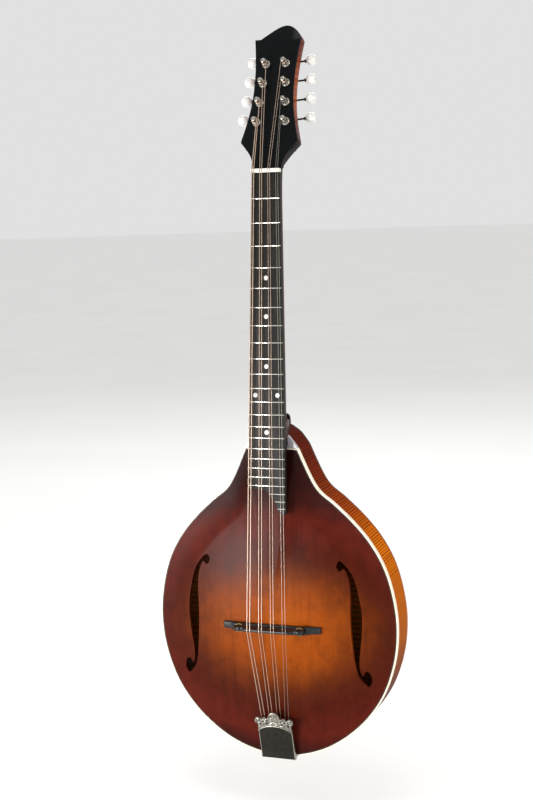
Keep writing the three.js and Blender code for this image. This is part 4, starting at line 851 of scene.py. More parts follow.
def pick(piece, test, kind="EDGE"):
    """Opens the piece in edit mode with only the edges or faces selected whose points all pass."""
    only(piece)
    bpy.ops.object.mode_set(mode="EDIT")
    bpy.ops.mesh.select_mode(type=kind)
    bpy.ops.mesh.select_all(action="DESELECT")
    bpy.ops.object.mode_set(mode="OBJECT")
    mesh = piece.data
    for item in mesh.edges if kind == "EDGE" else mesh.polygons:
        item.select = all(test(mesh.vertices[k].co) for k in item.vertices)
    bpy.ops.object.mode_set(mode="EDIT")


def round_edges(piece, test, width, segments=3):
    """Bevels the edges whose points all pass the test."""
    pick(piece, test)
    bpy.ops.mesh.bevel(offset=width, segments=segments, affect="EDGES")
    bpy.ops.object.mode_set(mode="OBJECT")
    return piece


def from_cad(name, node, place):
    """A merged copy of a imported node's mesh, brought into a piece's own frame in millimetres."""
    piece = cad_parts[node].copy()
    piece.data = piece.data.copy()
    for key in list(piece.keys()):
        if key.startswith("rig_"):
            del piece[key]
    piece.parent = None
    bpy.context.collection.objects.link(piece)
    piece.name = piece.data.name = name
    piece.data.transform(place.inverted())
    return weld(piece)


def course_place(spread, pair, i):
    """How far across a string is where the courses have that spread."""
    return (i // 2 / 3 - 0.5) * spread + (pair if i % 2 else -pair) / 2


def string_slots(spread, pair, crest, ends, air, sides):
    """A round cutter for each string, laid across a nut or a saddle whose crest is that deep."""
    slots = []
    for i, diameter in enumerate(STRING_DIAMETERS):
        across = course_place(spread, pair, i)
        depth = crest - STRING_LIFT - diameter / 2
        line = [(across, depth, end) for end in ends]
        slots.append(tube("slot", line, diameter / 2 + air, sides))
    return slots


def board_outline():
    """The fingerboard seen from in front, from the nut to its slanted and waved end."""
    half, run = board_half(BOARD_BASS_END), BOARD_TIP - BOARD_BASS_END
    end = curve_through([(a * half, BOARD_BASS_END + u * run) for a, u in BOARD_END_SHARES], 6)
    corner = BOARD_BASS_END + BOARD_CORNER_SHARE * run
    end.append((board_half(corner), corner))
    line = [(board_half(0), 0), (-board_half(0), 0), (-half, BOARD_BASS_END)] + end
    return [(x, -s) for x, s in line], end


def head_outline(start):
    """The headstock's outline from a height above the nut line, treble side first."""
    side = [(a * HEAD_HALF, u * HEAD_LENGTH) for a, u in HEAD_SIDE_SHARES]
    side = [point for point in curve_through(side, 5) if point[1] > start]
    side = [(side[0][0], start)] + side
    crest = [(a * HEAD_HALF, HEAD_LENGTH + u * CREST_RISE) for a, u in HEAD_CREST_SHARES]
    line = [side[-1]] + crest + [(-side[-1][0], side[-1][1])]
    return side[:-1] + curve_through(line, 5) + mirrored(side[:-1])


def screw(name, radius, rise):
    """A domed screw head with a slot, its top at -rise on the depth axis."""
    head = turned(name, [(0, 0.4), (radius, 0.4), (radius, -0.25 * rise),
                         (radius * 0.82, -0.7 * rise), (radius * 0.45, -0.95 * rise),
                         (0, -rise)], 20)
    return cut(head, block("slot", (-radius * 1.2, radius * 1.2), (-rise * 1.4, -rise * 0.45),
                           (-radius * 0.14, radius * 0.14)))


def string_line(number):
    """A string's two lengths in the body's frame: hook to saddle, and saddle into its post."""
    neck, head, tail = (BODY.inverted() @ place for place in (NECK, HEAD, TAIL))
    i, radius = number - 1, STRING_DIAMETERS[number - 1] / 2
    crest = neck @ Vector((0, -SADDLE_RISE, -STRING_LENGTH - COMPENSATION))
    across, over = course_place(SADDLE_SPREAD, SADDLE_PAIR, i), crest.y - STRING_LIFT - radius
    lip = SADDLE_THIN / 2 + STRING_LIFT
    at_nut, nut_depth = course_place(NUT_SPREAD, NUT_PAIR, i), -NUT_RISE - STRING_LIFT - radius
    leaves = HEAD.inverted() @ NECK @ Vector((at_nut, nut_depth, NUT_THICKNESS + STRING_LIFT))
    side = -1 if number <= 4 else 1
    step = number - 1 if side < 0 else 8 - number
    post = HEAD.inverted() @ COLUMNS[side] @ Vector((0, 0, step * POST_PITCH))
    coil = POST_WAIST + STRING_LIFT + radius
    pitch = STRING_DIAMETERS[i] + WINDING_AIR
    away = math.hypot(leaves.x - post.x, leaves.z - post.z)
    start = math.atan2(leaves.z - post.z, leaves.x - post.x) - side * math.acos(coil / away)
    turns = []
    for k in range(WINDING_TURNS * 24 + 1):
        turn = start - side * 2 * math.pi * k / 24
        turns.append((post.x + coil * math.cos(turn), pitch * k / 24 - WINDING_TOP,
                      post.z + coil * math.sin(turn)))
    turn -= side * 0.5
    turns.append((post.x + 0.6 * math.cos(turn), turns[-1][1], post.z + 0.6 * math.sin(turn)))
    hook = Vector(((i - 3.5) * TAIL_SPACING, STRING_AT_HOOK, HOOK_UP + HOOK_THICKNESS + 0.3))
    tail_end = [tail @ hook, Vector((across, over, crest.z - lip)),
                Vector((across, over, crest.z))]
    played = [tail_end[-1], Vector((across, over, crest.z + lip)),
              neck @ Vector((at_nut, nut_depth, 0.3 - STRING_LIFT)), head @ leaves]
    return tail_end, played + [head @ Vector(point) for point in turns]


def string_part(name, line, radius):
    """A length of string; its map runs on in metres, so that the winding keeps its pitch."""
    length = sum((b - a).length for a, b in zip(line, line[1:]))
    part = tube(name, evenly([tuple(point) for point in line], round(length / 1.35)), radius)
    for corner in part.data.uv_layers.active.data:
        corner.uv.y *= length * MM
    return part


# What a user may change


class MandolinSizes(bpy.types.PropertyGroup):
    """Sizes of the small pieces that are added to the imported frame."""

    dot_diameter: bpy.props.FloatProperty(
        name="Dot diameter", description="Width of a pearl position dot",
        default=0.005, min=0.003, max=0.008, precision=4, unit="LENGTH")
    line_width: bpy.props.FloatProperty(
        name="Black line width", description="Width of the dark line inside the binding",
        default=0.0012, min=0.0004, max=0.002, precision=4, unit="LENGTH")
    fret_width: bpy.props.FloatProperty(
        name="Fret crown width", description="Width of a fret at the board",
        default=0.0016, min=0.0012, max=0.003, precision=4, unit="LENGTH")
    bushing_diameter: bpy.props.FloatProperty(
        name="Bushing diameter", description="Width of the nickel bushing round each post",
        default=0.0096, min=0.007, max=0.011, precision=4, unit="LENGTH")
    wheel_notches: bpy.props.IntProperty(
        name="Wheel notches", description="Notches cut round each bridge wheel",
        default=36, min=12, max=60)


def colour_choice(name, description, code):
    return bpy.props.FloatVectorProperty(
        name=name, description=description, default=linear(code)[:3],
        size=3, min=0.0, max=1.0, subtype="COLOR")


class MandolinColours(bpy.types.PropertyGroup):
    """The main colours of the finishes."""

    amber: colour_choice("Sunburst centre", "Amber stain in the middle of the top", "#a44d02")
    edge: colour_choice("Sunburst edge", "Red stain at the edge of the top", "#52170c")
    binding: colour_choice("Binding", "Cream binding round the top", "#f2ecdd")
    lacquer: colour_choice("Headstock", "Lacquer on the headstock's face", "#090c0d")
    bronze: colour_choice("Wound strings", "Bronze winding of strings 1 to 6", "#d6c1b0")


def sizes():
    return bpy.context.scene.mandolin_sizes


# Operators


class MANDOLIN_OT_soundboard(bpy.types.Operator):
    """Carve the arched top with its two sound holes, and let the dark line in round it"""

    bl_idname = "mandolin.soundboard"
    bl_label = "Soundboard"

    def execute(self, context):
        top = arched_shell("soundboard", TOP_LOOP, 0, TOP_ARCH, TOP_THICKNESS, TOP_EDGE, -1)
        for side in (-1, 1):
            line = [(side * (F_HOLE_INNER + a * F_HOLE_WIDTH), F_HOLE_FOOT + u * F_HOLE_LENGTH)
                    for a, u in F_HOLE_SHARES]
            hole = curve_through(line, 4, True)
            cut(top, plate("sound_hole_cutter", hole, -TOP_ARCH - 6, TOP_EDGE + 6))
        settle(top, BODY, "body", sunburst_spruce(), ["top_plate"], 40)

        full = TEARDROP + NECK_END
        outer = inset(full, BINDING_WIDTH - LINE_OVERLAP)
        inner = inset(full, BINDING_WIDTH - LINE_OVERLAP + sizes().line_width / MM)
        drop = [max(0.0, -top_face(x, z)) for x, z in inner]
        rings = [[(a[0], -LINE_RISE, a[1]), (b[0], -d - LINE_RISE, b[1]),
                  (b[0], LINE_DEPTH, b[1]), (a[0], LINE_DEPTH, a[1])]
                 for a, b, d in zip(outer, inner, drop)]
        settle(loft("black_line", rings, True), BODY, "body", line_black())
        return {"FINISHED"}


class MANDOLIN_OT_back(bpy.types.Operator):
    """Carve the arched back with the button that covers the heel"""

    bl_idname = "mandolin.back"
    bl_label = "Back"

    def execute(self, context):
        back = arched_shell("back", RIM_LOOP, RIM_DEPTH, BACK_ARCH, BACK_THICKNESS, BACK_EDGE, 1)
        rim = {(round(x, 2), round(z, 2)) for x, z in RIM_LOOP}
        round_edges(back, lambda co: abs(co.y - RIM_DEPTH) < 0.01
                    and (round(co.x, 2), round(co.z, 2)) in rim, EDGE_ROUNDING)
        top = SHOULDER_TOP + BUTTON_RISE
        side = [(BUTTON_HALF, SHOULDER_TOP - 8)] + curve_through(
            [(BUTTON_HALF, top - 5.6), (8.9, top - 3.6), (7.4, top - 1.3), (4.6, top - 0.1),
             (0, top)], 3)
        button = plate("button", side + mirrored(side[:-1]), RIM_DEPTH - BACK_EDGE + 0.05,
                       RIM_DEPTH)
        round_edges(button, lambda co: co.y > RIM_DEPTH - 0.01 and co.z > SHOULDER_TOP - 7,
                    EDGE_ROUNDING)
        modify(back, "BOOLEAN", operation="UNION", solver="EXACT", object=button)
        discard(button)
        settle(back, BODY, "body", back_maple(), ["back_plate"], 40)
        return {"FINISHED"}


class MANDOLIN_OT_ribs(bpy.types.Operator):
    """Bend the two ribs round the body, with the flame across them, and glue on the binding"""

    bl_idname = "mandolin.ribs"
    bl_label = "Ribs and binding"

    def execute(self, context):
        inner = inset(RIM_LOOP, RIB_THICKNESS)
        start = len(TEARDROP) // 2
        stop = max(k for k in range(start, len(TEARDROP) + len(SHOULDER_LINE))
                   if RIM_LOOP[k][0] > HEEL_HALF - 1) + 1
        # the two ribs end just short of each other at the tail, and reach a little into the back
        foot = RIM_DEPTH - BACK_EDGE + RIB_OVERLAP
        rings = [[(max(x, RIB_GAP), depth, z) for (x, z), depth in (
            (a, TOP_EDGE), (a, foot), (b, foot), (b, TOP_EDGE))]
            for a, b in list(zip(RIM_LOOP, inner))[start:stop]]
        treble = loft("rib_treble_bent", rings)
        bass = weld(copy_of(treble, "rib_bass_bent", Matrix.Scale(-1, 4, (1, 0, 0))))
        settle(treble, BODY, "body", rib_maple(), ["rib_treble"])
        settle(bass, BODY, "body", rib_maple(), ["rib_bass"])

        full = TEARDROP + NECK_END
        steps = [(0, 0.9), (0.12, 0.45), (0.4, 0.15), (0.9, 0), (BINDING_WIDTH, -0.02),
                 (BINDING_WIDTH, BINDING_HEIGHT + 0.2), (0, BINDING_HEIGHT + 0.2)]
        lines = [inset(full, amount) for amount, _ in steps]
        rings = [[(line[k][0], depth, line[k][1]) for line, (_, depth) in zip(lines, steps)]
                 for k in range(len(full))]
        settle(loft("binding", rings, True), BODY, "body", ivoroid(), ["top_binding"])
        return {"FINISHED"}


class MANDOLIN_OT_neck(bpy.types.Operator):
    """Shape the neck with its heel, and the headstock with its black face"""

    bl_idname = "mandolin.neck"
    bl_label = "Neck and headstock"

    def execute(self, context):
        shaft = from_cad("neck_shaft", "neck", HEAD)
        only(shaft)
        bpy.ops.object.mode_set(mode="EDIT")
        bpy.ops.mesh.select_all(action="SELECT")
        bpy.ops.mesh.bisect(plane_co=(0, 0, FLARE_START), plane_no=(0, 0, 1), clear_outer=True,
                            use_fill=True)
        bpy.ops.object.mode_set(mode="OBJECT")
        core = plate("head_core", head_outline(FLARE_END - 0.2), VENEER, HEAD_THICKNESS)
        bevel(core, 0.9, 3, 50)
        neck = join("neck_with_headstock", shaft, self.flare(), core)
        settle(neck, HEAD, "body", neck_maple(), ["neck"], 38)

        face = bevel(plate("headstock_face", head_outline(0.9), 0, VENEER), 0.45, 2, 50)
        settle(face, HEAD, "body", black_lacquer(), ["headstock_veneer"], 38)
        return {"FINISHED"}

    def flare(self):
        """The carved flare in which the round shaft turns into the square headstock."""
        side = curve_through([(a * HEAD_HALF, u * HEAD_LENGTH) for a, u in HEAD_SIDE_SHARES], 5)
        rings = []
        for k in range(25):
            share = k / 24
            up = FLARE_START - 2 + (FLARE_END - FLARE_START + 2) * share
            half = line_at(side, up) - 0.2 * (1 - share)
            over = SHAFT_BACK - HEAD_THICKNESS - math.tan(HEAD_TILT) * up
            deep = HEAD_THICKNESS - VENEER - 0.1 * (1 - share) + (over + math.hypot(over, 0.5)) / 2
            square = 2 / (3 + 37 * share ** 2.2)
            right = [(half * math.sin(turn) ** square, VENEER + deep * math.cos(turn) ** square, up)
                     for turn in (math.pi / 2 * i / 14 for i in range(14, 0, -1))]
            rings.append(right + [(0, VENEER + deep, up)] + mirrored(right))
        return loft("head_flare", rings)


class MANDOLIN_OT_fingerboard(bpy.types.Operator):
    """Make the ebony fingerboard, seat its frets and let in the position dots"""

    bl_idname = "mandolin.fingerboard"
    bl_label = "Fingerboard"

    def execute(self, context):
        outline, end = board_outline()
        board = plate("fingerboard_ebony", outline, FRET_HEIGHT, FRET_HEIGHT + BOARD_THICKNESS)
        bevel(board, 0.35, 2, 30)
        dry = ebony("fingerboard_ebony", "#121211", "#242320", 0.5, 0.18)
        settle(board, NECK, "body", dry, ["fingerboard"])

        half = sizes().fret_width / MM / 2
        side = [(half, FRET_FOOT), (half, 0.95), (half * 0.86, 0.5), (half * 0.55, 0.14)]
        crown = side + [(0, 0.0)] + mirrored(side)
        ends = [(-0.5, 0.5), (-0.495, 0.82), (-0.485, 1)]
        rings = [[(x, FRET_FOOT - (FRET_FOOT - y) * tall, z) for z, y in crown]
                 for x, tall in ends + mirrored(ends)]
        first = loft("fret", rings)
        frets = []
        for k in range(FRET_COUNT):
            s = STRING_LENGTH * (1 - 2 ** (-(k + 1) / 12))
            left = -board_half(s) if s < BOARD_BASS_END else line_at(end, s)
            span = board_half(s) - left - 2 * FRET_INSET
            place = (Matrix.Translation((left + FRET_INSET + span / 2, 0, -s))
                     @ Matrix.Diagonal((span, 1, 1, 1)))
            frets.append(copy_of(first, "fret_%d" % (k + 1), place))
        discard(first)
        settle(join("frets", *frets), NECK, "body", fret_wire())

        radius = sizes().dot_diameter / MM / 2
        dot = turned("dot", [(0, 2.2), (radius, 2.2), (radius, 0.99), (radius * 0.9, 0.95),
                             (0, 0.93)])
        dots = []
        for number, across in ((5, 0), (7, 0), (10, 0), (12, -13.1), (12, 13.1), (15, 0)):
            s = sum(STRING_LENGTH * (1 - 2 ** (-n / 12)) for n in (number - 1, number)) / 2
            place = Matrix.Translation((across, 0, -s))
            dots.append(copy_of(dot, "dot_%d" % (len(dots) + 1), place))
        discard(dot)
        settle(join("position_dots", *dots), NECK, "body", pearloid())
        return {"FINISHED"}


class MANDOLIN_OT_nut(bpy.types.Operator):
    """Shape the bone nut and file a slot for each string"""

    bl_idname = "mandolin.nut"
    bl_label = "Nut"

    def execute(self, context):
        half = board_half(0)
        nut = bevel(block("nut_bone", (-half, half),
                          (-NUT_RISE - NUT_LIP, FRET_HEIGHT + BOARD_THICKNESS),
                          (0.05, NUT_THICKNESS - 0.1)), 0.6, 3)
        cut(nut, *string_slots(NUT_SPREAD, NUT_PAIR, -NUT_RISE - 0.02, (-3, NUT_THICKNESS + 3),
                               NUT_SLOT_AIR, 12))
        settle(nut, NECK, "body", bone(), ["nut"])
        return {"FINISHED"}


class MANDOLIN_OT_bridge(bpy.types.Operator):
    """Fit the bridge foot to the arch, and set the saddle on its two studs and wheels"""

    bl_idname = "mandolin.bridge"
    bl_label = "Bridge"

    def execute(self, context):
        crest = BODY.inverted() @ NECK @ Vector((0, -SADDLE_RISE, -STRING_LENGTH - COMPENSATION))
        up, back = crest.z, FOOT_THICKNESS / 2

        def seat(x):
            return top_face(x, up)

        shoulder = curve_through([
            (FOOT_HALF, seat(FOOT_HALF) - FOOT_END_RISE),
            (FOOT_WING + 5, seat(FOOT_WING + 5) - 3.5),
            (FOOT_WING, seat(FOOT_WING) - FOOT_WING_RISE), (FOOT_SHOULDER + 1.2, -FOOT_TOP + 0.7),
            (FOOT_SHOULDER - 1.5, -FOOT_TOP), (FOOT_SHOULDER - 8, -FOOT_TOP)], 5)

        def foot_top(x):
            out = abs(x)
            for (x0, y0), (x1, y1) in zip(shoulder, shoulder[1:]):
                if x1 <= out <= x0:
                    return y0 + (y1 - y0) * (x0 - out) / (x0 - x1 or 1)
            return -FOOT_TOP

        places = sorted({round(x, 3) for x, _ in shoulder}
                        | {round(-x, 3) for x, _ in shoulder} | {k * 3.5 for k in range(-10, 11)})
        rings = []
        for x in places:
            thin = back - 0.4 * max(0, abs(x) - FOOT_WING) / (FOOT_HALF - FOOT_WING)
            high = foot_top(x)
            rings.append([(x, top_face(x, up - thin) + FOOT_SUNK, up - thin),
                          (x, top_face(x, up + thin) + FOOT_SUNK, up + thin),
                          (x, high + FOOT_SLOPE, up + thin),
                          (x, high, up + thin - FOOT_CHAMFER),
                          (x, high, up - thin + FOOT_CHAMFER),
                          (x, high + FOOT_SLOPE, up - thin)])
        foot = bevel(loft("bridge_foot_fitted", rings), 0.8, 3, 32)
        settle(foot, BODY, "body", ebony(), ["bridge_foot"])

        rise = -crest.y - SADDLE_FOOT
        line = curve_through([(a * SADDLE_HALF, r) for a, r in SADDLE_SHARES[:-1]], 5)
        line += [(SADDLE_HALF * share, 1) for share in (0.5, 0.3, 0.1, 0)]
        line += mirrored(line[:-1])
        rings = []
        for x, share in line:
            ring = []
            for hand, steps in ((-1, (0, 0.3, 0.7, 1)), (1, (1, 0.7, 0.3, 0))):
                for step in steps:
                    level = share * step
                    thick = SADDLE_THICK + (SADDLE_THIN - SADDLE_THICK) * level
                    ring.append((x, -SADDLE_FOOT - level * rise - SADDLE_LIP * (level > 0.98),
                                 up + hand * thick / 2))
            rings.append(ring)
        saddle = bevel(loft("bridge_saddle_carved", rings), 0.4, 2, 30)
        slots = string_slots(SADDLE_SPREAD, SADDLE_PAIR, crest.y, (up - 6, up + 6),
                             SADDLE_SLOT_AIR, 10)
        # each stud has a hole, with headroom for when the saddle sinks
        wide, high = STUD_RADIUS + STUD_AIR, -STUD_TOP - STUD_HEADROOM
        for side in (-1, 1):
            hole = turned("stud_hole", [(0, high), (wide, high), (wide, -SADDLE_FOOT + 1),
                                        (0, -SADDLE_FOOT + 1)], 20)
            hole.data.transform(Matrix.Translation((side * STUD_PLACE, 0, up)))
            slots.append(hole)
        cut(saddle, *slots)
        settle(saddle, BODY, "saddle", ebony(), ["bridge_saddle"])

        thread = [(0, -STUD_TOP), (STUD_RADIUS - 0.3, -STUD_TOP)]
        depth = -STUD_TOP + 0.3
        while depth < -FOOT_TOP + 3:
            thread += [(STUD_RADIUS, depth), (STUD_RADIUS - 0.28, depth + 0.3)]
            depth += 0.6
        thread.append((0, depth))
        stud = turned("stud", thread, 20)
        notches = sizes().wheel_notches
        rim = [(radius * math.cos(turn), radius * math.sin(turn)) for radius, turn in (
            (WHEEL_RADIUS - WHEEL_NOTCH * (k % 2), math.pi * k / notches)
            for k in range(2 * notches))]
        wheel = plate("wheel", rim, -WHEEL_FOOT - WHEEL_THICKNESS, -WHEEL_FOOT)
        # in face mode, only the two round faces stay selected for the dish in each
        pick(wheel, lambda co: True, "FACE")
        bpy.ops.object.mode_set(mode="OBJECT")
        for face in wheel.data.polygons:
            face.select = abs(face.normal.y) > 0.9
        bpy.ops.object.mode_set(mode="EDIT")
        bpy.ops.mesh.inset(thickness=1.0, depth=0.0, use_individual=True)
        bpy.ops.mesh.inset(thickness=0.5, depth=-0.35, use_individual=True)
        bpy.ops.object.mode_set(mode="OBJECT")
        for name, side in (("bass", -1), ("treble", 1)):
            place = Matrix.Translation((side * STUD_PLACE, 0, up))
            settle(copy_of(stud, "threaded_stud_" + name, place), BODY, "body", brass(),
                   ["bridge_stud_" + name])
            settle(copy_of(wheel, "knurled_wheel_" + name, place), BODY, "thumbwheel_" + name,
                   brass(), ["thumbwheel_" + name])
        discard(stud, wheel)
        return {"FINISHED"}


class MANDOLIN_OT_tailpiece(bpy.types.Operator):
    """Make the tailpiece: the bracket with its hooks, the sliding cover and its cast crest"""

    bl_idname = "mandolin.tailpiece"
    bl_label = "Tailpiece"

    def execute(self, context):
        base = from_cad("tailpiece_bracket", "tailpiece_base", TAIL)
        settle(bevel(base, 0.2, 2, 40), TAIL, "body", nickel(), ["tailpiece_base"])
        head = screw("screw", 2.2, 1.1)
        upright = Matrix.Rotation(math.radians(90), 4, "X")
        screws = [copy_of(head, "tail_screw", Matrix.Translation((across, depth, -1.25)) @ upright)
                  for across, depth in ((-11, 8), (11, 8), (0, 22))]
        discard(head)
        settle(join("tail_screws", *screws), BODY, "body", nickel())

        inner = COVER_HALF - 0.9
        panel = plate("cover_plate", [(-inner, 0.3), (inner, 0.3), (inner, COVER_LENGTH + 3),
                                      (-inner, COVER_LENGTH + 3)], -0.35, 1)
        bevel(panel, 0.45, 3)
        # the cover plate's charcoal is a painted reflection of a dark room
        settle(panel, TAIL, "tailpiece_cover", dark_plate())

        rails = []
        for side in (-1, 1):
            profile = [(0, FLANGE_DEPTH), (0, 0.1), (0.25, -0.35), (0.7, -0.5), (1.05, -0.45),
                       (1.2, -0.2), (1.2, FLANGE_DEPTH)]
            rings = [[(side * (COVER_HALF - across), depth, z) for across, depth in profile]
                     for z in (0, 0.5, COVER_LENGTH, COVER_LENGTH + 2)]
            rails.append(loft("rail", rings))
        settle(join("cover_flanges", *rails), TAIL, "tailpiece_cover", nickel())
        self.crest()
        return {"FINISHED"}

    def crest(self):
        """The cast crest: a pierced plate with scrolls, leaves and a fan laid over it."""
        side = curve_through([(COVER_HALF, COVER_LENGTH - 3.4)] + [
            (a * CREST_HALF, COVER_LENGTH + u * CREST_LENGTH) for a, u in CREST_SHARES]
            + [(0, COVER_LENGTH + CREST_LENGTH)], 4)
        arch = [(x, COVER_LENGTH + 3.6 - 7 * abs(x / COVER_HALF) ** 2.4)
                for x in (COVER_HALF * (k / 12 - 1) for k in range(1, 24))]
        outline = side + mirrored(side[:-1]) + arch
        crest = plate("crest_plate", outline, -0.9, 1.0)
        drills = []
        for x, z, radius in CREST_HOLES:
            for hand in (-1, 1):
                drill = turned("drill", [(0, -4), (radius, -4), (radius, 3), (0, 3)], 12)
                drill.data.transform(Matrix.Translation((hand * x, 0, z)))
                drills.append(drill)
        cut(crest, *drills)
        parts = [crest]
        for hand in (-1, 1):
            curl = []
            for k in range(28):
                turn, size = -0.6 + k * 0.42, 3.9 - k * 0.13
                curl.append((hand * (18.6 + size * math.cos(turn)), -1.1 - k * 0.02,
                             50.6 + size * math.sin(turn)))
            parts.append(tube("curl", curl, [0.95 - 0.02 * k for k in range(28)], 8))
            for name, high, radius, points in CREST_LINES:
                line = curve_through([(hand * x, -high, z) for x, z in points], 5)
                parts.append(tube(name, line, radius, 8))
        rim = [(6.6 * math.cos(turn), -1.1, 53.2 + 8.2 * math.sin(turn))
               for turn in (math.radians(-18 + 216 * k / 30) for k in range(31))]
        parts.append(tube("crest_rim", rim, 0.85, 8))
        border = [(x, -1.1, z + 0.5) for x, z in [(-COVER_HALF + 0.4, COVER_LENGTH - 3.2)] + arch
                  + [(COVER_HALF - 0.4, COVER_LENGTH - 3.2)]]
        parts.append(tube("crest_border", border, 0.8, 8))
        for k in range(7):
            turn = math.radians(30 + 20 * k)
            line = [(share * 7.2 * math.cos(turn), -1.0 - 0.9 * math.sin(math.pi * share),
                     45.2 + share * 6.6 * math.sin(turn))
                    for share in (0.15, 0.35, 0.55, 0.75, 0.95)]
            parts.append(tube("fan_rib", line, [0.45, 0.8, 1.0, 0.95, 0.5], 8))
        for x, z in ((0, 57.6), (-2.6, 55.2), (2.6, 55.2)):
            bead = turned("bead", [(0, -2.2), (0.7, -2.05), (1.15, -1.5), (1.25, -0.9),
                                   (0, -0.9)], 12)
            bead.data.transform(Matrix.Translation((x, 0, z)))
            parts.append(bead)
        settle(join("scroll_crest", *parts), TAIL, "tailpiece_cover", cast_nickel(),
               ["tailpiece_cover"], 50)


class MANDOLIN_OT_strings(bpy.types.Operator):
    """Run the eight strings from their hooks over the bridge and nut into the posts"""

    bl_idname = "mandolin.strings"
    bl_label = "Strings"

    def execute(self, context):
        tail = BODY.inverted() @ TAIL
        for number, diameter in enumerate(STRING_DIAMETERS, 1):
            line, played = string_line(number)
            radius = diameter / 2
            across, wide, tall = (number - 4.5) * TAIL_SPACING, 0.8 + radius, 0.65 + radius
            loop = [tail @ Vector((across + wide * math.cos(turn), STRING_AT_HOOK,
                                   HOOK_UP + HOOK_THICKNESS / 2 + tall * math.sin(turn)))
                    for turn in (2 * math.pi * k / 20 for k in range(20))]
            ahead = (line[1] - line[0]).normalized()
            twist = [line[0] + ahead * run for run in (0.4, 1.2, 7.5, 8.5)]
            parts = [string_part("tail_end", line, radius),
                     tube("loop", loop, radius * 0.7, 8, True),
                     tube("twist", twist, [radius, radius * 1.5, radius * 1.5, radius], 8)]
            wound = number <= WOUND_STRINGS
            finish, slot = (wound_bronze(), "bronze") if wound else (plain_steel(), "steel")
            # the saddle lifts the string, which stays where it is at its hook and on the nut
            hook, saddle_tail, saddle_nut, nut = (BODY @ point for point in (
                line[0], line[1], played[1], played[2]))
            node = ["string_%d" % number]
            settle(join("string_%d_tail_end" % number, *parts), BODY,
                   ("body", "saddle", hook, saddle_tail), finish, node, 60)
            settle(string_part("string_%d_fitted" % number, played, radius), BODY,
                   ("saddle", "body", saddle_nut, nut), finish, node, 60)
        return {"FINISHED"}


